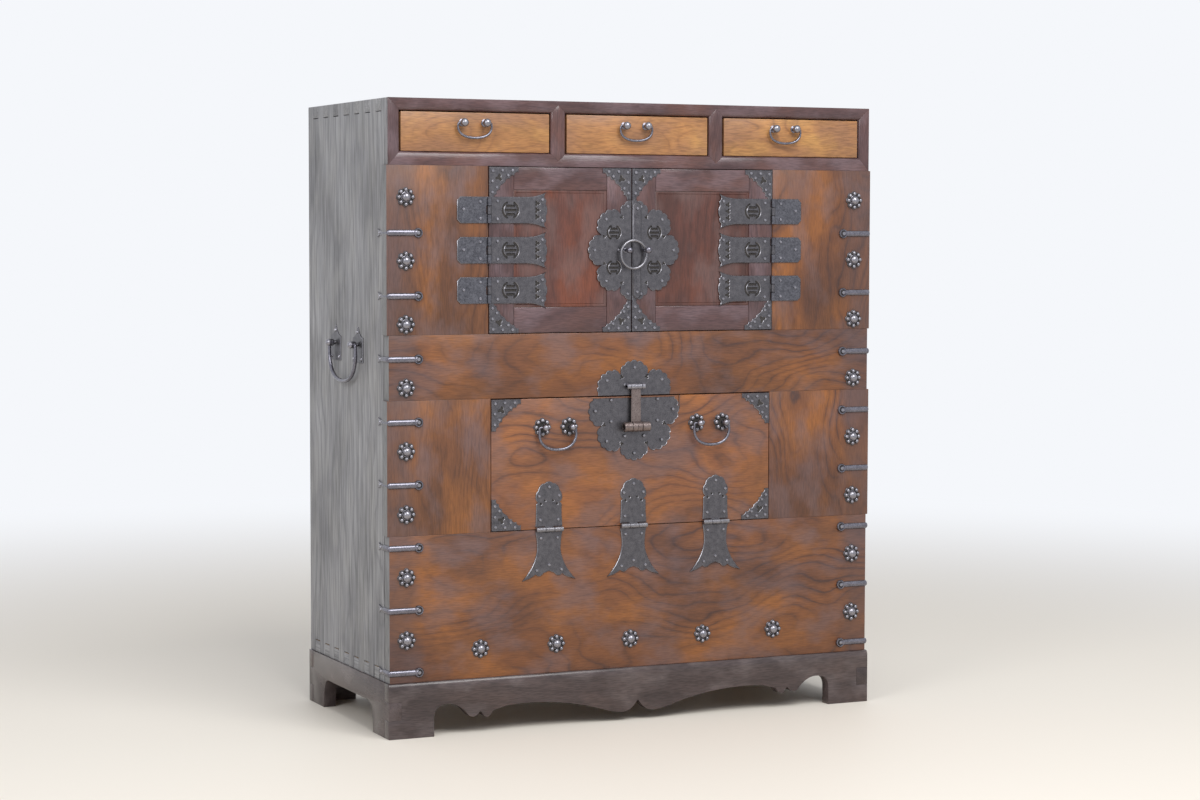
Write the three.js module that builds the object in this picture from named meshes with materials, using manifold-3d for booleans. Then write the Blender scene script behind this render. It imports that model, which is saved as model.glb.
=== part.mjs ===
// A bandaji chest: three drawers over a pair of doors over a fall-front, on a cusped base.
// Millimetres, +Z up, front towards -Y, +X to the right seen from the front.
import * as THREE from "three";
import { mergeVertices } from "three/addons/utils/BufferGeometryUtils.js";
import Module from "manifold-3d";

const wasm = await Module();
wasm.setup();

// Driving dimensions of the case
const caseWidth = 880;
const caseDepth = 400;
const baseHeight = 90;
const bottomFrontHeight = 238;
const fallHeight = 218;
const middleRailHeight = 105;
const doorOpeningHeight = 272;
const drawerRailHeight = 22;
const drawerOpeningHeight = 65;
const topRailHeight = 20;
const doorOpeningWidth = 521;
const sideThickness = 20;
const frontThickness = 22;
const facingThickness = 6;
const shelfThickness = 18;
const backThickness = 12;
const muntinWidth = 27;
const dividerThickness = 18;
const fingerCount = 15;
const shelfDrop = 3;

// Base
const baseProudFront = 5;
const baseProudSide = 3;
const apronThickness = 22;
const apronRound = 5;
const apronRoundShare = 0.3;
const footWidth = 78;
const archKnee = 25;
const archHeight = 50;
const backArchHeight = 42;
const baseFingerCount = 3;

// Doors and fall-front. They stand a little left of the middle, and the doors meet further left still.
const flapShift = -8;
const meetingShift = -4.4;
const fallInset = 4;
const flapGap = 1;
const fallTopGap = 1.6;
const meetingGap = 1.6;
const flapThickness = 20;
const doorStileWidth = 44;
const doorTopRailWidth = 37;
const doorBottomRailWidth = 42;
const panelRecess = 1.5;
const panelBackRecess = 5;
const bracketLeg = 46;
const bracketHingeGap = 2.5;
const bracketThickness = 1.5;

// Drawers
const drawerGap = 1;
const drawerSeatGap = 0.3;
const drawerSetback = 2;
const drawerFrontThickness = 16;
const drawerWall = 9;
const drawerFloor = 6;
const drawerBoxHeight = 50;
const drawerBackClearance = 12;

// Door strap hinges
const doorHingeSpacing = 22;
const doorHingeTipGap = 5;
const doorHingeLeafLength = 103;
const doorHingeFlareStart = 70;
const doorHingeCaseLength = 55;
const doorHingeClip = 6;
const doorBarrelRadius = 3.6;
const doorPinRadius = 1.7;
const leafThickness = 2;
const knuckleGap = 0.4;
const boreGap = 0.4;
const barrelLift = 0.3;
const medallionPlace = 38;
const medallionRadius = 12.5;
const medallionSlotHeight = 3.4;
const trefoilPlace = 84;
const trefoilHole = 2.4;
const trefoilReach = 4.4;
const trefoilHoleSides = 4;

// Fall-front hinges
const fallHingeWidth = 48;
const fallHingeBracketGap = 32;
const fallHingeLockGap = 30;
const fallHingeLowerLength = 84;
const fallHingeTipHalf = 48;
const fallHingeWaist = 42;
const fallBarrelRadius = 4.2;
const fallPinRadius = 2;

// Lock plates
const fallLockRadius = 84;
const lockBracketGap = 5;
const lockPlateThickness = 2;
const lockLobes = 8;
const lockLobePoints = 6;
const lockFretInset = 32;
const lockFretRadius = 9;
const lockFretSlotHeight = 3;
const lockNotchShare = 0.22;
const lockScallopShare = 0.035;
const lockLobeRoundness = 0.55;
const lockSeamRise = 25;
const meetingStripWidth = 16;
const meetingStripThickness = 2.5;
const meetingStripInset = 2;
const meetingStripPoint = 7;

// Ring, its eye post and the knob that it drops over
const ringRadius = 23.2;
const ringWireRadius = 1.8;
const ringStandoff = 10;
const ringDrop = 7;
const eyePlace = 22;
const eyeNeckRadius = 4.3;
const eyeHoleRadius = 2.8;
const headOffset = 10;
const eyeHeadRadius = 6;
const eyeCollarRadius = 5.2;
const knobPlace = 12.5;
const knobNeckRadius = 2.6;
const knobCollarRadius = 4.2;
const knobHeadRadius = 5;

// Hasp and lock tubes
const haspDrop = 67;
const haspSeamRise = 15;
const haspWidth = 20;
const haspThickness = 2.8;
const haspBarrelRadius = 5;
const haspPinRadius = 2;
const haspSideKnuckle = 6.5;
const lockTubeRadius = 8.3;
const lockTubeBore = 5;
const lockTubeLength = 14;
const lockTubeGap = 0.5;
const lockTubeFoot = 2.4;

// Bails on the drawers, the fall-front and the sides
const drawerBail = {
  spacing: 39, drop: 24.5, wire: 2.2, bulge: 1,
  neck: 4.2, collar: 6.5, standoff: 7, head: 6.8, headOffset: 4.8,
};
const fallBail = {
  spacing: 48, drop: 37, wire: 2.6, bulge: 2,
  neck: 4.4, collar: 6, standoff: 10, head: 5.4, headOffset: 6.5,
};
const sideBail = {
  spacing: 111, drop: 62, wire: 2.8, bulge: 3,
  neck: 4.8, collar: 6.8, standoff: 9, head: 6, headOffset: 4.5,
};
const bailGap = 0.4;
const bailBend = 3;
const bailShoulderShare = 0.72;
const bailBellyShare = 0.62;
const drawerPostDrop = 18;
const drawerBailShifts = { left: -4.5, middle: -6, right: -15.5 };
const fallBailPlace = 141.5;
const fallBailDrop = 49;
const sideBailRise = 541;
const sidePlateWidth = 49;
const sidePlateHeight = 59;
const sidePlatePoint = 16;
const sidePlateThickness = 2;
const postCollarHeight = 1.5;
const headArcDegrees = [58, 118];

// Rosette nails and corner straps
const rosetteRadius = 16.5;
const rosetteValley = 13.4;
const rosetteThickness = 4;
const rosetteDomeRadius = 8.5;
const rosetteHeight = 10;
const rosetteShoulderShare = 0.8;
const rosetteLobes = 8;
const rosetteInset = 29;
const rosetteFirst = 69;
const rosetteLast = 51;
const rosetteRowRise = 48;
const rosetteRowPitch = 135;
const rosetteRowShift = -13;
const strapCount = 8;
const strapFirst = 16;
const strapLast = 108;
const strapReach = 50;
const strapHalfHeight = 4;
const strapThickness = 3.4;
const strapEyeRadius = 7;
const strapEyeThickness = 4.4;
const strapSideReach = 46;
const strapTailHalf = 7;

// Sections used on round forms
const roundSides = 10;
const headSides = 8;
const pinSides = 6;
const wireSides = 6;
const bailSteps = 24;
const ringSteps = 24;
const apronCurveSteps = 3;
const archCurveSteps = 5;
const cutOverrun = 2;

// Heights and planes that follow from the driving dimensions
const halfWidth = caseWidth / 2;
const frontY = -caseDepth / 2;
const backY = caseDepth / 2;
const innerHalf = halfWidth - sideThickness;
const bottomFrontTop = baseHeight + bottomFrontHeight;
const fallTop = bottomFrontTop + fallHeight;
const middleRailTop = fallTop + middleRailHeight;
const doorTop = middleRailTop + doorOpeningHeight;
const drawerBottom = doorTop + drawerRailHeight;
const drawerTop = drawerBottom + drawerOpeningHeight;
const caseTop = drawerTop + topRailHeight;
const frontBackY = frontY + frontThickness;
const facingBackY = frontY + facingThickness;
const openingHalf = doorOpeningWidth / 2;
const fallHalf = openingHalf - fallInset;
const meetingX = flapShift + meetingShift;
const doorMiddle = (middleRailTop + doorTop) / 2;
const drawerWidth = (2 * innerHalf - 2 * muntinWidth) / 3;
const dividerX = drawerWidth / 2 + muntinWidth / 2;
const backFaceY = backY - backThickness;
const fallLockZ = fallTop - lockSeamRise;
const fallHingeUpperLength = fallHeight - lockSeamRise - fallLockRadius - fallHingeLockGap;
const doorLockRadius = doorOpeningHeight / 2 - flapGap - bracketLeg - lockBracketGap;
const fallHingePitch = fallHalf - flapGap - bracketLeg - fallHingeBracketGap - fallHingeWidth / 2;
const doorHingeField = doorOpeningHeight - 2 * (flapGap + bracketLeg + bracketHingeGap);
const doorHingeHeight = (doorHingeField - 2 * doorHingeSpacing) / 3;
const doorHingePitch = doorHingeHeight + doorHingeSpacing;
const doorHingeTipHalf = (doorHingePitch - doorHingeTipGap) / 2;
const roomy = 2 * caseWidth;

// Materials
const finish = (color, roughness, metalness) =>
  new THREE.MeshStandardMaterial({ color, roughness, metalness });
const frontWood = () => finish(0x8a5230, 0.35, 0);
const drawerWood = () => finish(0xa8692f, 0.4, 0);
const frameWood = () => finish(0x5a3526, 0.4, 0);
const sideWood = () => finish(0x8d8880, 0.8, 0);
const baseWood = () => finish(0x4c2b22, 0.4, 0);
const innerWood = () => finish(0xa08462, 0.8, 0);
const iron = () => finish(0x4a4b4c, 0.5, 0.8);

// Makes a solid of a closed geometry.
function solid(geometry) {
  const bare = geometry.clone();
  bare.deleteAttribute("normal");
  bare.deleteAttribute("uv");
  const merged = mergeVertices(bare);
  return new wasm.Manifold(new wasm.Mesh({
    numProp: 3,
    vertProperties: new Float32Array(merged.attributes.position.array),
    triVerts: new Uint32Array(merged.index.array),
  }));
}

// Turns a solid into a geometry with flat faces.
function geometryOf(body) {
  const mesh = body.getMesh();
  const geometry = new THREE.BufferGeometry();
  geometry.setAttribute("position", new THREE.BufferAttribute(new Float32Array(mesh.vertProperties), 3));
  geometry.setIndex(new THREE.BufferAttribute(new Uint32Array(mesh.triVerts), 1));
  const flat = geometry.toNonIndexed();
  flat.computeVertexNormals();
  return flat;
}

const join = (...bodies) => bodies.flat(Infinity).reduce((all, body) => all.add(body));
const cut = (body, ...tools) => tools.flat(Infinity).reduce((left, tool) => left.subtract(tool), body);

// Two places in rising order.
const span = (a, b) => [Math.min(a, b), Math.max(a, b)];

// A board between two corners.
function board(x0, x1, y0, y1, z0, z1) {
  const geometry = new THREE.BoxGeometry(1, 1, 1);
  const corner = geometry.attributes.position;
  for (let i = 0; i < corner.count; i += 1) {
    const x = corner.getX(i) < 0 ? x0 : x1;
    const y = corner.getY(i) < 0 ? y0 : y1;
    const z = corner.getZ(i) < 0 ? z0 : z1;
    corner.setXYZ(i, x, y, z);
  }
  return solid(geometry);
}

// A plate whose outline lies in X and Z, with its back at y and its face towards the front.
function plate(outline, y, thickness) {
  const shape = new THREE.Shape(outline.map(([x, z]) => new THREE.Vector2(x, z)));
  const geometry = new THREE.ExtrudeGeometry(shape, { depth: thickness, bevelEnabled: false });
  return solid(geometry.rotateX(Math.PI / 2).translate(0, y, 0));
}

// A plate whose outline lies in Y and Z, from x0 to x1.
function sidePlate(outline, x0, x1) {
  const shape = new THREE.Shape(outline.map(([y, z]) => new THREE.Vector2(y, z)));
  const geometry = new THREE.ExtrudeGeometry(shape, { depth: x1 - x0, bevelEnabled: false });
  return solid(geometry.rotateX(Math.PI / 2).rotateZ(Math.PI / 2).translate(x0, 0, 0));
}

// Round bars along the three axes.
function barX(radius, x0, x1, y, z, sides = roundSides) {
  const geometry = new THREE.CylinderGeometry(radius, radius, x1 - x0, sides);
  return solid(geometry.rotateZ(Math.PI / 2).translate((x0 + x1) / 2, y, z));
}
function barY(radius, x, y0, y1, z, sides = roundSides) {
  const geometry = new THREE.CylinderGeometry(radius, radius, y1 - y0, sides);
  return solid(geometry.translate(x, (y0 + y1) / 2, z));
}
function barZ(radius, x, y, z0, z1, sides = roundSides) {
  const geometry = new THREE.CylinderGeometry(radius, radius, z1 - z0, sides).rotateX(Math.PI / 2);
  return solid(geometry.translate(x, y, (z0 + z1) / 2));
}

// A turned form whose axis points to the front from (x, y, z); the profile holds radius and height.
function turned(profile, x, y, z, sides = roundSides) {
  const points = profile.map(([radius, height]) => new THREE.Vector2(radius, height));
  return solid(new THREE.LatheGeometry(points, sides).rotateZ(Math.PI).translate(x, y, z));
}

// A post with a round head: collar, neck and head, standing on the plane at y.
function headedPost(x, y, z, { neck, collar, standoff, head, headOffset }) {
  const centre = standoff + headOffset;
  const headArc = headArcDegrees.map((degrees) => {
    const angle = THREE.MathUtils.degToRad(degrees);
    return [head * Math.sin(angle), centre - head * Math.cos(angle)];
  });
  const foot = centre - Math.sqrt(head * head - neck * neck);
  const profile = [
    [0, -cutOverrun], [collar, -cutOverrun], [collar, postCollarHeight], [neck, postCollarHeight],
    [neck, foot], ...headArc, [0, centre + head],
  ];
  return turned(profile, x, y, z, headSides);
}

// A bail that hangs from two posts: turned-in ends along the axis, legs, and a round bottom.
// It is drawn in local X and Z with its joint axis through the origin.
function bailBody(size) {
  const legX = size.spacing / 2 + size.head + bailGap + size.wire;
  const endX = size.spacing / 2 - size.neck;
  const shoulderX = legX + 2 * size.bulge;
  const shoulderZ = -size.drop * bailShoulderShare;
  const bellyX = (legX + size.bulge) * bailBellyShare;
  const path = new THREE.CurvePath();
  const at = (x, z) => new THREE.Vector3(x, 0, z);
  path.add(new THREE.LineCurve3(at(-endX, 0), at(bailBend - legX, 0)));
  path.add(new THREE.QuadraticBezierCurve3(at(bailBend - legX, 0), at(-legX, 0), at(-legX, -bailBend)));
  path.add(new THREE.CubicBezierCurve3(
    at(-legX, -bailBend), at(-shoulderX, shoulderZ), at(-bellyX, -size.drop), at(0, -size.drop)));
  path.add(new THREE.CubicBezierCurve3(
    at(0, -size.drop), at(bellyX, -size.drop), at(shoulderX, shoulderZ), at(legX, -bailBend)));
  path.add(new THREE.QuadraticBezierCurve3(at(legX, -bailBend), at(legX, 0), at(legX - bailBend, 0)));
  path.add(new THREE.LineCurve3(at(legX - bailBend, 0), at(endX, 0)));
  return wire(path, size.wire, bailSteps);
}

// The bore along X in which the ends of a bail turn, clear of its wire all round.
function bailBore(size, x, y, z) {
  const radius = (size.wire + bailGap) / Math.cos(Math.PI / roundSides);
  return barX(radius, x - size.spacing, x + size.spacing, y, z);
}

// A wire of round section along a path.
function wire(path, radius, steps) {
  const section = new THREE.Shape(ringPoints(radius, wireSides).map(([x, y]) => new THREE.Vector2(x, y)));
  const geometry = new THREE.ExtrudeGeometry(section, { steps, extrudePath: path, bevelEnabled: false });
  return solid(geometry);
}

function ringPoints(radius, count, turn = 0) {
  return Array.from({ length: count }, (_, i) => {
    const angle = turn + (2 * Math.PI * i) / count;
    return [radius * Math.cos(angle), radius * Math.sin(angle)];
  });
}

// Places along a joint of fingers: the odd ones belong to the first board.
function fingerSpans(y0, y1, count, odd) {
  const step = (y1 - y0) / count;
  const spans = [];
  for (let i = odd ? 1 : 0; i < count; i += 2) {
    spans.push([y0 + i * step, y0 + (i + 1) * step]);
  }
  return spans;
}

// A rosette nail with a domed middle, on the plane at frontY.
function rosette(x, z, domed = true) {
  const points = Array.from({ length: 2 * rosetteLobes }, (_, i) => {
    const radius = i % 2 ? rosetteValley : rosetteRadius;
    const angle = (Math.PI * (i + 0.5)) / rosetteLobes;
    return [x + radius * Math.cos(angle), z + radius * Math.sin(angle)];
  });
  const flower = plate(points, frontY, rosetteThickness);
  if (!domed) {
    return flower;
  }
  const shoulder = THREE.MathUtils.lerp(rosetteThickness, rosetteHeight, rosetteShoulderShare);
  const dome = turned(
    [[0, 0], [rosetteDomeRadius, 0], [rosetteDomeRadius, rosetteThickness],
      [rosetteDomeRadius * rosetteShoulderShare, shoulder], [0, rosetteHeight]],
    x, frontY, z, rosetteLobes);
  return join(flower, dome);
}

// A strap that wraps the vertical edge: an eye with a nail in front and a split tail on the side.
function cornerStrap(side, z) {
  const out = side * (halfWidth + strapThickness);
  const eyeCentre = side * (halfWidth - strapReach);
  const front = board(...span(eyeCentre, out), frontY - strapThickness, frontY,
    z - strapHalfHeight, z + strapHalfHeight);
  const eye = barY(strapEyeRadius, eyeCentre, frontY - strapEyeThickness, frontY, z, headSides);
  const tailY = frontY + strapSideReach;
  const tail = [
    [frontY - strapThickness, -strapHalfHeight], [tailY - 2 * strapTailHalf, -strapHalfHeight],
    [tailY, -strapTailHalf], [tailY - strapTailHalf, 0], [tailY, strapTailHalf],
    [tailY - 2 * strapTailHalf, strapHalfHeight], [frontY - strapThickness, strapHalfHeight],
  ].map(([y, rise]) => [y, z + rise]);
  return join(front, eye, sidePlate(tail, ...span(side * halfWidth, out)));
}

// The outline of a bracket in a corner, as shares of its leg.
const bracketShares = [
  [0, 0], [1, 0], [1, 0.16], [0.82, 0.24], [0.74, 0.42], [0.5, 0.5],
  [0.42, 0.74], [0.24, 0.82], [0.16, 1], [0, 1],
];

// Brackets on the four corners of a flap that spans x0 to x1 and z0 to z1.
function cornerBrackets(x0, x1, z0, z1) {
  const corners = [[x0, z0, 1, 1], [x1, z0, -1, 1], [x1, z1, -1, -1], [x0, z1, 1, -1]];
  return corners.map(([x, z, toX, toZ]) => {
    const points = bracketShares.map(([a, b]) => [x + toX * a * bracketLeg, z + toZ * b * bracketLeg]);
    return plate(points, frontY, bracketThickness);
  });
}

// A round of three slots, cut through a plate that lies on the plane at frontY.
function roundFret(x, z, radius, slotHeight, thickness) {
  const slotPitch = 2 * slotHeight;
  return [-1, 0, 1].map((row) => {
    const rise = row * slotPitch;
    const reach = Math.sqrt(radius * radius - rise * rise) - Math.abs(row) * slotHeight;
    return board(x - reach, x + reach, frontY - thickness - cutOverrun, frontY + cutOverrun,
      z + rise - slotHeight / 2, z + rise + slotHeight / 2);
  });
}

// The eight-lobed outline of a lock plate around (0, z), its lobes edged with small scallops.
function lockOutline(z, plateRadius) {
  const count = lockLobes * lockLobePoints;
  return Array.from({ length: count }, (_, i) => {
    const angle = (2 * Math.PI * (i + 0.5)) / count;
    const lobe = Math.pow(Math.abs(Math.cos((angle * lockLobes) / 2)), lockLobeRoundness);
    const scallop = i % 2 ? lockScallopShare : 0;
    const radius = plateRadius * (1 - lockNotchShare * (1 - lobe) - scallop);
    return [radius * Math.cos(angle), z + radius * Math.sin(angle)];
  });
}

// A lock plate pierced with four round frets.
function lockPlate(z, plateRadius) {
  const fretPlace = plateRadius - lockFretInset;
  const frets = [45, 135, 225, 315].map((degrees) => {
    const angle = THREE.MathUtils.degToRad(degrees);
    return roundFret(fretPlace * Math.cos(angle), z + fretPlace * Math.sin(angle),
      lockFretRadius, lockFretSlotHeight, lockPlateThickness);
  });
  return cut(plate(lockOutline(z, plateRadius), frontY, lockPlateThickness), frets);
}

// The part of a body that lies in front of the front plane, between two places across and two heights.
const clipped = (body, x0, x1, z0, z1) =>
  body.intersect(board(x0, x1, frontY - caseDepth, frontY, z0, z1));

const chest = new THREE.Group();

// Adds a named mesh for one piece.
function piece(name, body, material, parent = chest) {
  const mesh = new THREE.Mesh(geometryOf(body), material);
  mesh.name = name;
  parent.add(mesh);
  return mesh;
}

// Base aprons. The outline of the long apron is drawn for the right half and mirrored.
// Each row holds an end point and the control point before it, as shares of half width and height.
const apronCurveShares = [
  [0.824, 0.356, 0.825, 0.18], [0.7765, 0.573, 0.822, 0.567], [0.6885, 0.34, 0.727, 0.589],
  [0.648, 0.367, 0.668, 0.261], [0.6275, 0.311, 0.641, 0.444], [0.5914, 0.398, 0.6095, 0.228],
  [0.5327, 0.467, 0.564, 0.433], [0.352, 0.459, 0.4515, 0.5055], [0.151, 0.259, 0.244, 0.4055],
  [0.0564, 0.1755, 0.1016, 0.172], [0, 0.389, 0.027, 0.189],
];

function longApronOutline(halfSpan, footInner) {
  const path = new THREE.Path();
  path.moveTo(footInner, 0);
  apronCurveShares.forEach(([x, z, controlX, controlZ]) => {
    path.quadraticCurveTo(controlX * halfSpan, controlZ * baseHeight, x * halfSpan, z * baseHeight);
  });
  const right = path.getPoints(apronCurveSteps).map((point) => [point.x, point.y]);
  const left = right.map(([x, z]) => [-x, z]);
  return [
    [-halfSpan, 0], ...left, ...right.slice(0, -1).reverse(),
    [halfSpan, 0], [halfSpan, baseHeight], [-halfSpan, baseHeight],
  ];
}

// An apron with a plain arch between its two feet.
function plainArchOutline(from, to, rise) {
  const archStart = from + footWidth;
  const archEnd = to - footWidth;
  const path = new THREE.Path();
  path.moveTo(archStart, 0);
  path.quadraticCurveTo(archStart, rise, archStart + archKnee, rise);
  path.lineTo(archEnd - archKnee, rise);
  path.quadraticCurveTo(archEnd, rise, archEnd, 0);
  const arch = path.getPoints(archCurveSteps).map((point) => [point.x, point.y]);
  return [[from, 0], ...arch, [to, 0], [to, baseHeight], [from, baseHeight]];
}

const baseHalf = halfWidth + baseProudSide;
const baseFrontY = frontY - baseProudFront;
const apronBackY = baseFrontY + apronThickness;
const baseFingers = (odd) => fingerSpans(0, baseHeight, baseFingerCount, odd);

// The end of an apron keeps its fingers and loses the places of its neighbour's.
function apronCorner(x0, x1, y0, y1, odd) {
  return baseFingers(odd).map(([z0, z1]) => board(x0, x1, y0, y1, z0, z1));
}

// What the round along the upper front edge of the base takes off.
function frontRound(x0, x1) {
  const y = baseFrontY;
  const corner = apronRound * apronRoundShare;
  return sidePlate([
    [y - cutOverrun, baseHeight + cutOverrun], [y - cutOverrun, baseHeight - apronRound],
    [y, baseHeight - apronRound], [y + corner, baseHeight - corner],
    [y + apronRound, baseHeight], [y + apronRound, baseHeight + cutOverrun],
  ], x0, x1);
}

{
  const apronX = (side) => span(side * baseHalf, side * (baseHalf - apronThickness));
  const corners = [-1, 1].flatMap((side) => {
    const [x0, x1] = apronX(side);
    return [
      { side, x0, x1, y0: baseFrontY, y1: apronBackY },
      { side, x0, x1, y0: backY - apronThickness, y1: backY },
    ];
  });
  const frontCorners = corners.filter((corner) => corner.y0 < 0);
  const backCorners = corners.filter((corner) => corner.y0 > 0);
  const footInner = baseHalf - footWidth;
  const frontApron = cut(
    plate(longApronOutline(baseHalf, footInner), apronBackY, apronThickness),
    frontCorners.flatMap((corner) => apronCorner(corner.x0, corner.x1, corner.y0, corner.y1, true)),
    frontRound(-baseHalf, baseHalf));
  piece("base_front_apron", frontApron, baseWood());
  const backApron = cut(
    plate(plainArchOutline(-baseHalf, baseHalf, backArchHeight), backY, apronThickness),
    backCorners.flatMap((corner) => apronCorner(corner.x0, corner.x1, corner.y0, corner.y1, true)));
  piece("base_back_apron", backApron, baseWood());
  for (const [name, side] of [["left", -1], ["right", 1]]) {
    const [x0, x1] = apronX(side);
    const own = corners.filter((corner) => corner.side === side);
    const apron = cut(
      sidePlate(plainArchOutline(baseFrontY, backY, archHeight), x0, x1),
      own.flatMap((corner) => apronCorner(corner.x0, corner.x1, corner.y0, corner.y1, false)),
      frontRound(x0, x1));
    piece(`base_${name}_apron`, apron, baseWood());
  }
}

// Case boards. Top, bottom and sides meet in finger joints.
const sideX = (side) => span(side * halfWidth, side * innerHalf);
const topFingers = (odd) => fingerSpans(facingBackY, backY, fingerCount, odd);
const bottomFingers = (odd) => fingerSpans(frontBackY, backY, fingerCount, odd);
const bottomBoardTop = baseHeight + sideThickness;

piece("bottom_board", cut(
  board(-halfWidth, halfWidth, frontBackY, backY, baseHeight, bottomBoardTop),
  [-1, 1].flatMap((side) => bottomFingers(false).map(
    ([y0, y1]) => board(...sideX(side), y0, y1, baseHeight, bottomBoardTop)))), innerWood());

piece("top_board", cut(
  board(-halfWidth, halfWidth, facingBackY, backY, drawerTop, caseTop),
  [-1, 1].flatMap((side) => topFingers(false).map(
    ([y0, y1]) => board(...sideX(side), y0, y1, drawerTop, caseTop)))), sideWood());

// A side bail's posts stand on pointed plates. They are drawn facing the front at the origin.
function sideBailPosts() {
  const posts = [-1, 1].map((end) => {
    const x = (end * sideBail.spacing) / 2;
    const w = sidePlateWidth / 2;
    const h = sidePlateHeight / 2;
    const shoulder = h - sidePlatePoint;
    const outline = [[x - w, -h], [x + w, -h], [x + w, shoulder], [x, h], [x - w, shoulder]];
    const backing = plate(outline, cutOverrun, sidePlateThickness + cutOverrun);
    return join(backing, headedPost(x, 0, 0, sideBail));
  });
  return cut(join(posts), bailBore(sideBail, 0, -sideBail.standoff, 0));
}
const sideBailZ = baseHeight + sideBailRise;

for (const [name, side] of [["left", -1], ["right", 1]]) {
  const [x0, x1] = sideX(side);
  const posts = sideBailPosts().rotate([0, 0, side * 90]).translate([side * halfWidth, 0, sideBailZ]);
  const body = join(
    board(x0, x1, frontBackY, backY, baseHeight, caseTop),
    board(x0, x1, facingBackY, frontBackY, doorTop, caseTop));
  piece(`${name}_side_board`, join(cut(body,
    bottomFingers(true).map(([y0, y1]) => board(x0, x1, y0, y1, baseHeight, bottomBoardTop)),
    topFingers(true).map(([y0, y1]) => board(x0, x1, y0, y1, drawerTop, caseTop))), posts), sideWood());
}

piece("back_board", board(-innerHalf, innerHalf, backFaceY, backY, bottomBoardTop, drawerTop), sideWood());
const shelfTop = middleRailTop - shelfDrop;
piece("compartment_shelf",
  board(-innerHalf, innerHalf, frontBackY, backFaceY, shelfTop - shelfThickness, shelfTop), innerWood());
piece("drawer_shelf",
  board(-innerHalf, innerHalf, facingBackY, backFaceY, drawerBottom - shelfThickness, drawerBottom),
  innerWood());

// Drawer dividers carry the muntins, whose pointed ends sit in notches of the rails.
const muntinPoint = muntinWidth / 2;
function muntinOutline(x) {
  return [
    [x - muntinPoint, drawerBottom], [x, drawerBottom - muntinPoint], [x + muntinPoint, drawerBottom],
    [x + muntinPoint, drawerTop], [x, drawerTop + muntinPoint], [x - muntinPoint, drawerTop],
  ];
}
for (const [name, side] of [["left", -1], ["right", 1]]) {
  const x = side * dividerX;
  piece(`drawer_divider_${name}`, join(
    board(x - dividerThickness / 2, x + dividerThickness / 2, facingBackY, backFaceY,
      drawerBottom, drawerTop),
    plate(muntinOutline(x), facingBackY, facingThickness)), frameWood());
}

// The drawer frame is mitred at its corners.
const railNotches = [-1, 1].map(
  (side) => plate(muntinOutline(side * dividerX), facingBackY, facingThickness));
piece("drawer_frame_top_rail", cut(plate(
  [[-halfWidth, caseTop], [-innerHalf, drawerTop], [innerHalf, drawerTop], [halfWidth, caseTop]],
  facingBackY, facingThickness), railNotches), frameWood());
piece("drawer_frame_bottom_rail", cut(plate(
  [[-halfWidth, doorTop], [halfWidth, doorTop], [innerHalf, drawerBottom], [-innerHalf, drawerBottom]],
  facingBackY, facingThickness), railNotches), frameWood());
for (const [name, side] of [["left", -1], ["right", 1]]) {
  const outline = [
    [halfWidth, doorTop], [halfWidth, caseTop], [innerHalf, drawerTop], [innerHalf, drawerBottom],
  ];
  piece(`drawer_frame_${name}_stile`,
    plate(outline.map(([x, z]) => [side * x, z]), facingBackY, facingThickness), frameWood());
}

// Front boards with their rosettes and corner straps.
const evenly = (z0, z1) =>
  Array.from({ length: strapCount }, (_, i) => z0 + (i * (z1 - z0)) / (strapCount - 1));
const rosetteHeights = evenly(baseHeight + rosetteFirst, doorTop - rosetteLast);
const strapHeights = evenly(baseHeight + strapFirst, doorTop - strapLast);

function frontBoard(x0, x1, z0, z1, sides, extra = []) {
  const on = (z) => z >= z0 && z < z1;
  const iron = sides.flatMap((side) => [
    ...rosetteHeights.filter(on).map((z) => rosette(side * (halfWidth - rosetteInset), z)),
    ...strapHeights.filter(on).map((z) => cornerStrap(side, z)),
  ]);
  return join(board(x0, x1, frontY, frontBackY, z0, z1), iron, extra);
}

const rowRosettes = [-2, -1, 0, 1, 2].map(
  (i) => rosette(rosetteRowShift + i * rosetteRowPitch, baseHeight + rosetteRowRise));
piece("bottom_front_board",
  frontBoard(-halfWidth, halfWidth, baseHeight, bottomFrontTop, [-1, 1], rowRosettes), frontWood());
piece("middle_rail",
  frontBoard(-halfWidth, halfWidth, fallTop, middleRailTop, [-1, 1]), frontWood());
for (const [name, side] of [["left", -1], ["right", 1]]) {
  const beside = (half) => span(side * half + flapShift, side * halfWidth);
  piece(`lower_${name}_front_board`,
    frontBoard(...beside(fallHalf), bottomFrontTop, fallTop, [side]), frontWood());
  piece(`upper_${name}_front_board`,
    frontBoard(...beside(openingHalf), middleRailTop, doorTop, [side]), frontWood());
}

// Door strap hinges, drawn with the axis through the local origin and the door leaf towards +X.
const doorAxisOut = doorBarrelRadius + barrelLift;
const knuckleHalf = doorHingeHeight / 6;

const onAxis = (body, axisOut) => body.translate([0, axisOut - frontY, 0]);

// Points of the flared end of a door leaf, as shares of the flare's length and of the tip's half height.
const doorFlareShares = [[0.6, 0.83], [1, 1], [0.83, 0.7], [1, 0.45], [0.9, 0.2]];

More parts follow.
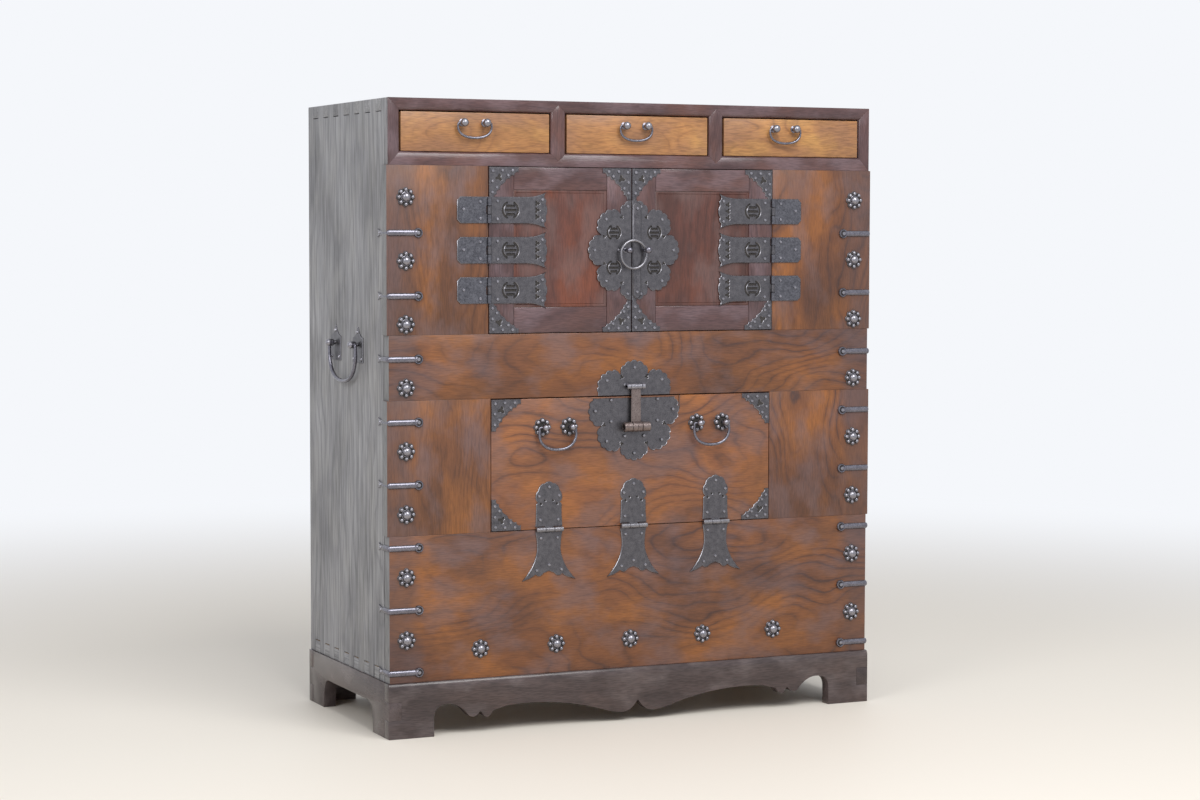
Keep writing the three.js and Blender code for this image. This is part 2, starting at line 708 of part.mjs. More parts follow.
function doorLeafBody() {
  const h = doorHingeHeight / 2;
  const flare = doorHingeLeafLength - doorHingeFlareStart;
  const upper = doorFlareShares.map(([a, b]) => [doorHingeFlareStart + a * flare, b * doorHingeTipHalf]);
  const lower = upper.map(([x, z]) => [x, -z]);
  const leafStart = doorBarrelRadius / 2;
  const outline = [
    [leafStart, -h], [doorHingeFlareStart, -h], ...lower, [doorHingeLeafLength, 0],
    ...upper.reverse(), [doorHingeFlareStart, h], [leafStart, h],
  ];
  const trefoil = ringPoints(trefoilReach, 3).map(([x, z]) => plate(
    ringPoints(trefoilHole, trefoilHoleSides).map(([a, b]) => [trefoilPlace + x + a, z + b]),
    frontY + cutOverrun, leafThickness + 2 * cutOverrun));
  const pierced = cut(plate(outline, frontY, leafThickness), trefoil,
    roundFret(medallionPlace, 0, medallionRadius, medallionSlotHeight, leafThickness));
  const clear = doorBarrelRadius + knuckleGap;
  const edge = knuckleHalf - knuckleGap;
  const ends = [-1, 1].map((end) => board(
    -clear, clear, frontY - 2 * doorBarrelRadius, frontY, ...span(end * edge, end * doorHingeHeight)));
  const barrel = barZ(doorBarrelRadius, 0, frontY - doorAxisOut, -edge, edge);
  const bridge = board(0, clear, frontY - leafThickness, frontY - barrelLift, -edge, edge);
  const bore = barZ(doorPinRadius + boreGap, 0, frontY - doorAxisOut, -h, h, pinSides);
  return onAxis(cut(join(cut(pierced, ends), barrel, bridge), bore), doorAxisOut);
}

function doorCaseLeafBody() {
  const h = doorHingeHeight / 2;
  const leafEnd = -doorBarrelRadius / 2;
  const clipEnd = doorHingeClip - doorHingeCaseLength;
  const outline = [
    [leafEnd, -h], [leafEnd, h], [clipEnd, h], [-doorHingeCaseLength, h - doorHingeClip],
    [-doorHingeCaseLength, -h + doorHingeClip], [clipEnd, -h],
  ];
  const clear = doorBarrelRadius + knuckleGap;
  const middle = board(-clear, clear, frontY - 2 * doorBarrelRadius, frontY, -knuckleHalf, knuckleHalf);
  const leaf = cut(plate(outline, frontY, leafThickness), middle);
  const barrels = [-1, 1].map((end) => {
    const [z0, z1] = span(end * knuckleHalf, end * h);
    return join(barZ(doorBarrelRadius, 0, frontY - doorAxisOut, z0, z1),
      board(-clear, 0, frontY - leafThickness, frontY - barrelLift, z0, z1));
  });
  const pin = barZ(doorPinRadius, 0, frontY - doorAxisOut, -h, h, pinSides);
  return onAxis(join(leaf, barrels, pin), doorAxisOut);
}

const doorAxisX = openingHalf - flapGap / 2;
const hingeRows = [["top", 1], ["middle", 0], ["bottom", -1]];
const doorLeafGeometry = geometryOf(doorLeafBody());
const doorCaseLeafGeometry = geometryOf(doorCaseLeafBody());
for (const [name, side] of [["left", -1], ["right", 1]]) {
  for (const [row, rise] of hingeRows) {
    const z = doorMiddle + rise * doorHingePitch;
    for (const [kind, geometry] of [["case_leaf", doorCaseLeafGeometry], ["door_leaf", doorLeafGeometry]]) {
      const leaf = new THREE.Mesh(geometry, iron());
      leaf.name = `${name}_hinge_${row}_${kind}`;
      leaf.position.set(side * doorAxisX + flapShift, frontY - doorAxisOut, z);
      leaf.rotation.y = side > 0 ? Math.PI : 0;
      chest.add(leaf);
    }
  }
}

// Doors: stiles and rails around a sunk panel, with brackets on the corners.
for (const [name, side] of [["left", -1], ["right", 1]]) {
  const outer = side * (openingHalf - flapGap) + flapShift;
  const inner = (side * meetingGap) / 2 + meetingX;
  const [x0, x1] = span(outer, inner);
  const z0 = middleRailTop + flapGap;
  const z1 = doorTop - flapGap;
  const blank = board(x0, x1, frontY, frontY + flapThickness, z0, z1);
  const field = (y0, y1) => board(x0 + doorStileWidth, x1 - doorStileWidth, y0, y1,
    z0 + doorBottomRailWidth, z1 - doorTopRailWidth);
  const framed = cut(blank, field(frontY - cutOverrun, frontY + panelRecess),
    field(frontY + flapThickness - panelBackRecess, frontY + flapThickness + cutOverrun));
  piece(`${name}_door`, join(framed, cornerBrackets(x0, x1, z0, z1)), frameWood());
}

// Door lock plates, the knob on the left one and the eye post on the right one.
const ringCentreZ = doorMiddle - ringDrop;
const eyeX = meetingX + eyePlace;
const eyeZ = ringCentreZ + Math.sqrt(ringRadius ** 2 - eyePlace ** 2);
const ringY = frontY - ringStandoff;
const eyeSlope = Math.atan2(eyeZ - ringCentreZ, eyePlace);
{
  const whole = lockPlate(doorMiddle, doorLockRadius).translate([flapShift, 0, 0]);
  const stripHalf = doorLockRadius - meetingStripInset;
  const onPlate = (body) => clipped(body, -roomy, roomy, 0, roomy);
  const knob = headedPost(meetingX - knobPlace, frontY, doorMiddle, {
    neck: knobNeckRadius, collar: knobCollarRadius, standoff: ringStandoff, head: knobHeadRadius, headOffset,
  });
  const leftEdge = meetingX - meetingGap / 2;
  const rightEdge = meetingX + meetingGap / 2;
  piece("left_lock_plate", join(clipped(whole, -roomy, leftEdge, 0, roomy), onPlate(knob)), iron());
  const rightHalf = clipped(whole, rightEdge, roomy, 0, roomy);
  const shoulder = stripHalf - meetingStripPoint;
  const strip = plate([
    [0, -shoulder], [meetingStripWidth / 2, -stripHalf], [meetingStripWidth, -shoulder],
    [meetingStripWidth, shoulder], [meetingStripWidth / 2, stripHalf], [0, shoulder],
  ].map(([x, z]) => [rightEdge + x, doorMiddle + z]), frontY - lockPlateThickness, meetingStripThickness);
  const eyePost = headedPost(eyeX, frontY, eyeZ, {
    neck: eyeNeckRadius, collar: eyeCollarRadius, standoff: ringStandoff, head: eyeHeadRadius, headOffset,
  });
  const hole = barZ(eyeHoleRadius, 0, 0, -ringRadius / 2, ringRadius / 2)
    .rotate([0, -THREE.MathUtils.radToDeg(eyeSlope), 0]).translate([eyeX, ringY, eyeZ]);
  piece("right_lock_plate", join(rightHalf, strip, cut(onPlate(eyePost), hole)), iron());
}

// The ring, a torus through the eye.
{
  const ring = new THREE.TorusGeometry(ringRadius, ringWireRadius, wireSides, ringSteps).rotateX(Math.PI / 2);
  const mesh = piece("lock_ring", solid(ring), iron());
  mesh.position.set(meetingX, ringY, ringCentreZ);
}

// Fall-front board with its brackets and the rosette posts of its bails.
const fallBailZ = fallTop - fallBailDrop;
const fallBailX = (side) => side * fallBailPlace + flapShift;
const rosettePost = (x) => join(rosette(x, fallBailZ, false), headedPost(x, frontY, fallBailZ, fallBail));
{
  const x0 = flapShift - fallHalf + flapGap;
  const x1 = flapShift + fallHalf - flapGap;
  const z0 = bottomFrontTop + flapGap;
  const z1 = fallTop - fallTopGap;
  const posts = [-1, 1].flatMap((side) => [-1, 1].map(
    (end) => rosettePost(fallBailX(side) + (end * fallBail.spacing) / 2)));
  const bores = [-1, 1].map(
    (side) => bailBore(fallBail, fallBailX(side), frontY - fallBail.standoff, fallBailZ));
  const leaf = board(x0, x1, frontY, frontY + flapThickness, z0, z1);
  piece("fall_board",
    join(leaf, cornerBrackets(x0, x1, z0, z1), cut(join(posts), bores)), frontWood());
}

// Fall hinges, drawn with the axis along X through the local origin and the upper leaf towards +Z.
const fallAxisOut = fallBarrelRadius + barrelLift;
const fallKnuckle = fallHingeWidth / 6;

// Half outlines as shares of half width and length, from the barrel to the end.
const upperLeafShares = [
  [0.94, 0.2], [0.9, 0.42], [1, 0.6], [0.98, 0.78], [0.62, 0.86], [0.5, 0.97], [0.2, 0.93],
];
const lowerWaistShares = [[1, 0.4], [1.1, 0.62]];
const lowerTailShares = [[0.62, 0.84], [1, 1], [0.62, 0.95], [0.25, 0.93], [0.1, 0.86]];
const lowerNotchShare = 0.82;

function fallLeaf(points, tip) {
  const mirrored = points.map(([x, z]) => [-x, z]).reverse();
  return plate([...points, tip, ...mirrored], frontY, leafThickness);
}

function knuckleCut(x0, x1) {
  const clear = fallBarrelRadius + knuckleGap;
  return board(x0, x1, frontY - 2 * fallBarrelRadius, frontY, -clear, clear);
}

function fallUpperLeafBody() {
  const w = fallHingeWidth / 2;
  const points = [
    [w, fallBarrelRadius / 2], ...upperLeafShares.map(([a, b]) => [a * w, b * fallHingeUpperLength]),
  ];
  const leaf = fallLeaf(points, [0, fallHingeUpperLength]);
  const edge = fallKnuckle - knuckleGap;
  const trimmed = cut(leaf, knuckleCut(-fallHingeWidth, -edge), knuckleCut(edge, fallHingeWidth));
  const barrel = barX(fallBarrelRadius, -edge, edge, frontY - fallAxisOut, 0);
  const bridge = board(-edge, edge, frontY - leafThickness, frontY - barrelLift,
    0, fallBarrelRadius + knuckleGap);
  const bore = barX(fallPinRadius + boreGap, -w, w, frontY - fallAxisOut, 0, pinSides);
  return onAxis(cut(join(trimmed, barrel, bridge), bore), fallAxisOut);
}

function fallLowerLeafBody() {
  const w = fallHingeWidth / 2;
  const drop = (half) => ([a, b]) => [-a * half, -b * fallHingeLowerLength];
  const points = [
    [-w, -fallBarrelRadius / 2], ...lowerWaistShares.map(drop(fallHingeWaist / 2)),
    ...lowerTailShares.map(drop(fallHingeTipHalf)),
  ];
  const leaf = fallLeaf(points, [0, -fallHingeLowerLength * lowerNotchShare]);
  const trimmed = cut(leaf, knuckleCut(-fallKnuckle, fallKnuckle));
  const barrels = [-1, 1].map((end) => {
    const [x0, x1] = span(end * fallKnuckle, end * w);
    return join(barX(fallBarrelRadius, x0, x1, frontY - fallAxisOut, 0),
      board(x0, x1, frontY - leafThickness, frontY - barrelLift, -fallBarrelRadius - knuckleGap, 0));
  });
  const pin = barX(fallPinRadius, -w, w, frontY - fallAxisOut, 0, pinSides);
  return onAxis(join(trimmed, barrels, pin), fallAxisOut);
}

const fallAxisZ = bottomFrontTop + flapGap / 2;
const fallUpperGeometry = geometryOf(fallUpperLeafBody());
const fallLowerGeometry = geometryOf(fallLowerLeafBody());
for (const [name, place] of [["left", -1], ["middle", 0], ["right", 1]]) {
  for (const [kind, geometry] of [["lower_leaf", fallLowerGeometry], ["upper_leaf", fallUpperGeometry]]) {
    const leaf = new THREE.Mesh(geometry, iron());
    leaf.name = `fall_hinge_${name}_${kind}`;
    leaf.position.set(place * fallHingePitch + flapShift, frontY - fallAxisOut, fallAxisZ);
    chest.add(leaf);
  }
}

// Lock of the fall-front: upper plate with the hasp's knuckles, lower plate with two tubes, and the hasp.
const haspZ = fallTop + haspSeamRise;
const haspY = frontY - lockPlateThickness - haspBarrelRadius - barrelLift;
const tubeZ = haspZ - haspDrop;
const tubeY = frontY - lockPlateThickness - lockTubeRadius - barrelLift;
{
  const whole = lockPlate(fallLockZ, fallLockRadius);
  const plateFace = frontY - lockPlateThickness;
  const inPlace = (body) => body.translate([flapShift, 0, 0]);
  const w = haspWidth / 2;
  const knuckles = [-1, 1].map((end) => {
    const [x0, x1] = span(end * (w + knuckleGap), end * (w + haspSideKnuckle));
    return join(barX(haspBarrelRadius, x0, x1, haspY, haspZ),
      board(x0, x1, haspY, plateFace, haspZ - haspBarrelRadius / 2, haspZ + haspBarrelRadius / 2));
  });
  const haspPin = barX(haspPinRadius, -w - haspSideKnuckle, w + haspSideKnuckle, haspY, haspZ, pinSides);
  piece("upper_lock_plate",
    inPlace(join(clipped(whole, -roomy, roomy, fallTop, roomy), knuckles, haspPin)), iron());

  const tubeStart = w - lockTubeGap;
  const tubes = [-1, 1].map((end) => {
    const [x0, x1] = span(end * tubeStart, end * (tubeStart + lockTubeLength));
    const foot = board(x0, x1, plateFace - lockTubeFoot, plateFace,
      tubeZ - lockTubeRadius / 2, tubeZ + lockTubeRadius / 2);
    return join(barX(lockTubeRadius, x0, x1, tubeY, tubeZ), foot);
  });
  const tubeBore = barX(lockTubeBore, -roomy, roomy, tubeY, tubeZ);
  piece("lower_lock_plate",
    inPlace(join(clipped(whole, -roomy, roomy, 0, fallTop - fallTopGap), cut(join(tubes), tubeBore))), iron());

  const rollHalf = tubeStart - lockTubeGap;
  const strap = board(-rollHalf, rollHalf,
    haspY - haspThickness / 2, haspY + haspThickness / 2, tubeZ, haspZ);
  const roll = barX(lockTubeRadius, -rollHalf, rollHalf, tubeY, tubeZ);
  const knuckle = barX(haspBarrelRadius, -w, w, haspY, haspZ);
  const body = cut(join(strap, roll, knuckle), tubeBore,
    barX(haspPinRadius + boreGap, -roomy, roomy, haspY, haspZ, pinSides));
  piece("hasp", inPlace(body), iron());
}

// Drawers and their bails.
const drawerNames = [["left", -1], ["middle", 0], ["right", 1]];
const drawerFaceY = frontY + drawerSetback;
const drawerPostZ = drawerTop - drawerPostDrop;
const drawerBailX = (name, place) => place * 2 * dividerX + drawerBailShifts[name];
for (const [name, place] of drawerNames) {
  const x = place * 2 * dividerX;
  const w = drawerWidth / 2 - drawerGap;
  const boxHalf = w - drawerGap;
  const z0 = drawerBottom + drawerSeatGap;
  const z1 = drawerTop - drawerGap;
  const boxFront = drawerFaceY + drawerFrontThickness;
  const boxBack = backFaceY - drawerBackClearance;
  const front = board(x - w, x + w, drawerFaceY, boxFront, z0, z1);
  const box = cut(
    board(x - boxHalf, x + boxHalf, boxFront, boxBack, z0, z0 + drawerBoxHeight),
    board(x - boxHalf + drawerWall, x + boxHalf - drawerWall, boxFront, boxBack - drawerWall,
      z0 + drawerFloor, z1));
  const bailX = drawerBailX(name, place);
  const posts = [-1, 1].map(
    (end) => headedPost(bailX + (end * drawerBail.spacing) / 2, drawerFaceY, drawerPostZ, drawerBail));
  const bore = bailBore(drawerBail, bailX, drawerFaceY - drawerBail.standoff, drawerPostZ);
  piece(`drawer_${name}`, join(front, box, cut(join(posts), bore)), drawerWood());
}

// Each bail is one geometry, placed at its posts.
function placeBail(name, size, x, y, z, turn = 0) {
  const mesh = piece(name, bailBody(size), iron());
  mesh.position.set(x, y, z);
  mesh.rotation.z = turn;
}
for (const [name, place] of drawerNames) {
  placeBail(`drawer_${name}_bail`, drawerBail,
    drawerBailX(name, place), drawerFaceY - drawerBail.standoff, drawerPostZ);
}
for (const [name, side] of [["left", -1], ["right", 1]]) {
  placeBail(`fall_${name}_bail`, fallBail, fallBailX(side), frontY - fallBail.standoff, fallBailZ);
  placeBail(`${name}_side_bail`, sideBail, side * (halfWidth + sideBail.standoff), 0, sideBailZ, Math.PI / 2);
}

// The origin is the middle of the footprint of everything, hardware included, on the floor.
const frontReach = ringStandoff + headOffset + eyeHeadRadius;
chest.position.y = frontReach / 2;

export default chest;
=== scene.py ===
"""Looks of a bandaji chest: oiled wood, weathered sides and forged iron fittings.

Sizes are in millimetres and are turned to metres when a piece is finished. Places come from the frame.
X runs to the right seen from the front, Y to the back and Z up.
"""

import logging
import math
from dataclasses import dataclass
from enum import Enum
from typing import Any, Iterable, Optional, Sequence

import bmesh
import bpy
from bmesh.types import BMesh, BMEdge, BMFace, BMVert
from mathutils import Matrix, Vector
from mathutils.geometry import interpolate_bezier

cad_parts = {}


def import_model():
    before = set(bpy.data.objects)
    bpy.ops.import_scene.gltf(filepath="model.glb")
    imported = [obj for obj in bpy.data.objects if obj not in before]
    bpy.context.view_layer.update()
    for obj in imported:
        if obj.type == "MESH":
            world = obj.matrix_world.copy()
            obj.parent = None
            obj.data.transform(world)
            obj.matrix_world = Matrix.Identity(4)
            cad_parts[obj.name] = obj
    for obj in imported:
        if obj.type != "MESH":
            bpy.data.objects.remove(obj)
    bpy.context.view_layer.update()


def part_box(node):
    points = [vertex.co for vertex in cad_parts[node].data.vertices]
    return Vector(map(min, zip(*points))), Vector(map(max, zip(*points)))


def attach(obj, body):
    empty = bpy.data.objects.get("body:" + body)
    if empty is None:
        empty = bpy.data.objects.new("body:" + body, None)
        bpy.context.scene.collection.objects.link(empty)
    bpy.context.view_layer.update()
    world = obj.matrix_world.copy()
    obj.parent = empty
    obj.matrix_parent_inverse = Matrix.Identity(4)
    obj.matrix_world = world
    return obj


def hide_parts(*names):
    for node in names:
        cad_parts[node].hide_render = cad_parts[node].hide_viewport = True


LOG = logging.getLogger("bandaji")

# Metres in a millimetre, and the angles from which an edge is shaded sharp and is rounded off.
MM = 0.001
SMOOTH_DEGREES = 38.0
SHARP_DEGREES = 50.0
# In millimetres: welding distance, round on wood, worn bevel on iron, and how far a part sinks in.
WELD = 0.001
SOFT = 0.7
RIM = 0.8
SUNK = 0.4

Point = tuple[float, float]
Outline = Sequence[Point]
Links = Optional[dict[Any, Any]]


class Layer(Enum):
    """Material places on an iron piece."""

    FACE = 0
    WORN = 1
    # Dark floors of holes and recesses: grime and painted shade.
    GRIME = 2
    # Brighter bevels and parts: iron rubbed brighter, partly a painted highlight.
    RIM = 3


class Grain(Enum):
    """Which axes run along the grain, across it and through the board."""

    ACROSS_FRONT = ("X", "Z", "Y")
    UP_FRONT = ("Z", "X", "Y")
    UP_SIDE = ("Z", "Y", "X")
    ALONG_SIDE = ("Y", "Z", "X")
    ALONG_TOP = ("X", "Y", "Z")


class Plane(Enum):
    """The plane in which an outline is drawn, and the axis along which it is given its thickness."""

    FRONT = (0, 2, 1)
    SIDE = (1, 2, 0)
    FLAT = (0, 1, 2)

    def at(self, first: float, second: float, depth: float) -> Vector:
        """Gives the point of an outline in space."""
        place = Vector((0.0, 0.0, 0.0))
        for axis, value in zip(self.value, (first, second, depth)):
            place[axis] = value
        return place


class Side(Enum):
    """The two sides of the chest seen from the front."""

    LEFT = -1
    RIGHT = 1

    @property
    def word(self) -> str:
        """Gives the side's name as names of pieces use it."""
        return self.name.lower()

    @property
    def flip(self) -> Matrix:
        """Gives the matrix that brings a piece made for the left side to this one."""
        return Matrix.Diagonal((-self.value, 1, 1, 1))


# Frame


@dataclass(frozen=True)
class Box:
    """A node's box in millimetres."""

    lo: Vector
    hi: Vector

    @classmethod
    def of(cls, node: str) -> "Box":
        """Reads the box of a node of the frame."""
        lo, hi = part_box(node)
        return cls(lo / MM, hi / MM)

    @property
    def mid(self) -> Vector:
        """Gives the middle of the box."""
        return (self.lo + self.hi) / 2


@dataclass(frozen=True)
class Layout:
    """Planes and heights of the case in millimetres, as the frame has them."""

    half_width: float
    inner_half: float
    front: float
    facing_back: float
    board_back: float
    back: float
    base_top: float
    bottom_top: float
    fall_top: float
    middle_top: float
    door_top: float
    drawer_bottom: float
    drawer_top: float
    case_top: float

    @classmethod
    def read(cls) -> "Layout":
        """Reads the layout off the boxes of the frame's boards."""
        top_rail = Box.of("drawer_frame_top_rail")
        bottom_rail = Box.of("drawer_frame_bottom_rail")
        back = Box.of("back_board")
        middle = Box.of("middle_rail")
        return cls(
            half_width=top_rail.hi.x,
            inner_half=back.hi.x,
            front=top_rail.lo.y,
            facing_back=top_rail.hi.y,
            board_back=Box.of("compartment_shelf").lo.y,
            back=back.hi.y,
            base_top=Box.of("bottom_front_board").lo.z,
            bottom_top=Box.of("bottom_front_board").hi.z,
            fall_top=middle.lo.z,
            middle_top=middle.hi.z,
            door_top=bottom_rail.lo.z,
            drawer_bottom=bottom_rail.hi.z,
            drawer_top=top_rail.lo.z,
            case_top=top_rail.hi.z,
        )

    @property
    def door_middle(self) -> float:
        """Gives the middle height of the doors."""
        return (self.middle_top + self.door_top) / 2


# Shapes


def soften(shape: BMesh, edges: Iterable[BMEdge], width: float, steps: int = 2) -> None:
    """Rounds the given edges of a shape.

    Args:
        shape: the shape that is changed.
        edges: the edges that get a round.
        width: how far the round reaches from the edge.
        steps: how many faces the round has.
    """
    bmesh.ops.bevel(shape, geom=list(edges), offset=width, offset_type="OFFSET", segments=steps,
                    profile=0.5, affect="EDGES", material=-1, clamp_overlap=True)


def sharp_edges(shape: BMesh) -> list[BMEdge]:
    """Lists the edges where two faces meet sharply."""
    limit = math.radians(SHARP_DEGREES)
    return [edge for edge in shape.edges if edge.is_manifold and edge.calc_face_angle() > limit]


def board(lo: Sequence[float], hi: Sequence[float], soft: float = SOFT) -> BMesh:
    """Makes a board between two corners, its edges softened.

    Args:
        lo: lowest corner.
        hi: highest corner.
        soft: width of the round along its edges.

    Returns:
        The board.
    """
    low, high = Vector(lo), Vector(hi)
    shape = bmesh.new()
    bmesh.ops.create_cube(shape, size=1.0)
    bmesh.ops.scale(shape, vec=high - low, verts=shape.verts)
    bmesh.ops.translate(shape, vec=(low + high) / 2, verts=shape.verts)
    soften(shape, shape.edges[:], soft)
    return shape


def slab(outline: Outline, plane: Plane, start: float, end: float, soft: float = SOFT) -> BMesh:
    """Gives an outline its thickness.

    Args:
        outline: corners in the plane.
        plane: the plane in which the outline lies.
        start: where the thickness starts.
        end: where it ends.
        soft: width of the round along sharp edges, or 0.

    Returns:
        The slab.
    """
    shape = bmesh.new()
    face = shape.faces.new([shape.verts.new(plane.at(a, b, start)) for a, b in outline])
    raised = bmesh.ops.extrude_face_region(shape, geom=[face])["geom"]
    moved = [item for item in raised if isinstance(item, BMVert)]
    bmesh.ops.translate(shape, vec=plane.at(0, 0, end - start), verts=moved)
    bmesh.ops.recalc_face_normals(shape, faces=shape.faces[:])
    if soft:
        soften(shape, sharp_edges(shape), soft)
    return shape


def stamp(target: BMesh, part: BMesh, *places: Matrix) -> None:
    """Adds a copy of a part to a target at each place and frees the part.

    Args:
        target: the shape that takes the copies.
        part: the shape that is copied.
        places: one matrix for each copy, or none for a copy where the part is.
    """
    mesh = bpy.data.meshes.new("stamp")
    part.to_mesh(mesh)
    part.free()
    for place in places or (Matrix.Identity(4),):
        copy = mesh.copy()
        copy.transform(place)
        if place.determinant() < 0:
            copy.flip_normals()
        target.from_mesh(copy)
        bpy.data.meshes.remove(copy)
    bpy.data.meshes.remove(mesh)


def joined(*parts: tuple[BMesh, Iterable[Matrix]]) -> BMesh:
    """Puts parts into one new shape.

    Args:
        parts: pairs of a part, which is freed, and the places of its copies.

    Returns:
        The shape.
    """
    shape = bmesh.new()
    for part, places in parts:
        stamp(shape, part, *places)
    return shape


def painted(shape: BMesh, layer: Layer) -> BMesh:
    """Gives every face of a shape one layer of its piece's materials."""
    for item in shape.faces:
        item.material_index = layer.value
    return shape


def plate(outline: Outline, holes: Sequence[Outline], thickness: float, rim: float = RIM) -> BMesh:
    """Makes an iron plate that lies on the plane of the front, its rims brighter as wear and a painted
    highlight, its holes floored with grime and painted shade.

    Args:
        outline: corners across and up.
        holes: outlines of what is punched through it.
        thickness: how far it stands out.
        rim: width of the worn bevel along every edge.

    Returns:
        The plate, its back at zero and its face towards -Y.
    """
    shape = bmesh.new()
    for loop in (outline, *holes):
        verts = [shape.verts.new((x, 0.0, z)) for x, z in loop]
        for pair in zip(verts, verts[1:] + verts[:1]):
            shape.edges.new(pair)
    filled = bmesh.ops.triangle_fill(shape, use_beauty=True, edges=shape.edges[:])["geom"]
    back = [item for item in filled if isinstance(item, BMFace)]
    raised = bmesh.ops.extrude_face_region(shape, geom=back)["geom"]
    front = [item for item in raised if isinstance(item, BMFace)]
    moved = [item for item in raised if isinstance(item, BMVert)]
    bmesh.ops.translate(shape, vec=(0, rim - thickness, 0), verts=moved)
    bmesh.ops.recalc_face_normals(shape, faces=shape.faces[:])
    bevel = bmesh.ops.inset_region(shape, faces=front, thickness=rim, depth=rim, use_boundary=True,
                                   use_even_offset=False)
    # Bevel faces take the brighter rim iron: wear and a painted highlight.
    for item in bevel["faces"]:
        item.material_index = Layer.RIM.value
    # A dark sheet sits in each hole: grime and painted shade.
    for hole in holes:
        stamp(shape, painted(slab(hole, Plane.FRONT, 0, -SUNK, soft=0), Layer.GRIME))
    return shape


def spun(shape: BMesh, axis: Sequence[float], steps: int) -> BMesh:
    """Spins a shape's edges once round an axis through the origin.

    Args:
        shape: the edges, which become the spun form.
        axis: direction of the axis.
        steps: how many faces go round.

    Returns:
        The same shape, its doubles merged and its faces outwards.
    """
    bmesh.ops.spin(shape, geom=shape.verts[:] + shape.edges[:], cent=(0, 0, 0), axis=axis,
                   angle=math.tau, steps=steps, use_merge=True, use_duplicate=False)
    bmesh.ops.remove_doubles(shape, verts=shape.verts[:], dist=WELD)
    bmesh.ops.recalc_face_normals(shape, faces=shape.faces[:])
    return shape


def turned(profile: Outline, steps: int) -> BMesh:
    """Turns a profile about the axis that points out of the front.

    Args:
        profile: pairs of radius and height, from axis to axis.
        steps: how many faces go round.

    Returns:
        The turned form, standing on the plane of the front.
    """
    shape = bmesh.new()
    verts = [shape.verts.new((radius, -height, 0.0)) for radius, height in profile]
    for pair in zip(verts, verts[1:]):
        shape.edges.new(pair)
    return spun(shape, (0, 1, 0), steps)


def rod(radius: float, start: float, end: float, steps: int = 20, bore: float = 0.0) -> BMesh:
    """Makes a round bar or tube along X with softened rims.

    Args:
        radius: outer radius.
        start: where it starts along X.
        end: where it ends.
        steps: how many faces go round.
        bore: radius of its bore, or 0.

    Returns:
        The bar, with its axis through the origin.
    """
    soft = min(SOFT, radius / 4)
    ends = [(radius, start + soft), (radius, end - soft), (radius - soft, end)]
    inner = [(bore, end), (bore, start)] if bore else [(0.0, end), (0.0, start)]
    profile = [*ends, *inner, (radius - soft, start)]
    shape = bmesh.new()
    verts = [shape.verts.new((x, 0.0, r)) for r, x in profile]
    pairs = list(zip(verts, verts[1:] + verts[:1]))
    if not bore:
        pairs.pop(len(ends))
    for pair in pairs:
        shape.edges.new(pair)
    return spun(shape, (1, 0, 0), steps)


def frames_along(path: Sequence[Vector], normal: Vector, scales: Sequence[float]) -> list[Matrix]:
    """Gives a frame for each point of a flat path, for a section that is swept along it.

    Args:
        path: points in order.
        normal: the direction square to the path's plane, which the section's first axis keeps.
        scales: how large the section is at each point.

    Returns:
        One matrix a point: first axis along the normal, third along the path.
    """
    frames = []
    for i, point in enumerate(path):
        ahead = path[min(i + 1, len(path) - 1)] - path[max(i - 1, 0)]
        along = ahead.normalized()
        across = along.cross(normal).normalized()
        turn = Matrix((normal, across, along)).transposed().to_4x4()
        frames.append(Matrix.Translation(point) @ turn @ Matrix.Scale(scales[i], 4))
    return frames


def swept(section: Outline, frames: Sequence[Matrix]) -> BMesh:
    """Sweeps a closed section through frames and closes both ends.

    Args:
        section: corners of the section in the first two axes of a frame.
        frames: the places of the section in order.

    Returns:
        The swept form.
    """
    shape = bmesh.new()
    verts = [shape.verts.new(frames[0] @ Vector((a, b, 0.0))) for a, b in section]
    edges = [shape.edges.new(pair) for pair in zip(verts, verts[1:] + verts[:1])]
    shape.faces.new(verts)
    for before, after in zip(frames, frames[1:]):
        grown = bmesh.ops.extrude_edge_only(shape, edges=edges)["geom"]
        moved = {item for item in grown if isinstance(item, BMVert)}
        edges = [item for item in grown if isinstance(item, BMEdge) and set(item.verts) <= moved]
        bmesh.ops.transform(shape, matrix=after @ before.inverted(), verts=list(moved))
    bmesh.ops.contextual_create(shape, geom=edges)
    bmesh.ops.recalc_face_normals(shape, faces=shape.faces[:])
    return shape


def polar(reach: float, angle: float, centre: Point = (0.0, 0.0)) -> Point:
    """Gives the point at a distance and an angle from a centre."""
    return (centre[0] + reach * math.cos(angle), centre[1] + reach * math.sin(angle))


def circle(radius: float, count: int, centre: Point = (0.0, 0.0)) -> list[Point]:
    """Gives evenly spaced points of a circle."""
    return [polar(radius, math.tau * i / count, centre) for i in range(count)]


def arc(start: Point, pull: Point, end: Point, steps: int) -> list[Point]:
    """Gives points of a curve between two points.

    Args:
        start: first point, which is left out.
        pull: the point that the curve leaves and arrives towards.
        end: last point.
        steps: how many points.

    Returns:
        The points in order.
    """
    points = []
    for i in range(1, steps + 1):
        t = i / steps
        keep, lead, last = (1 - t) ** 2, 2 * t * (1 - t), t * t
        points.append(tuple(keep * a + lead * b + last * c for a, b, c in zip(start, pull, end)))
    return points


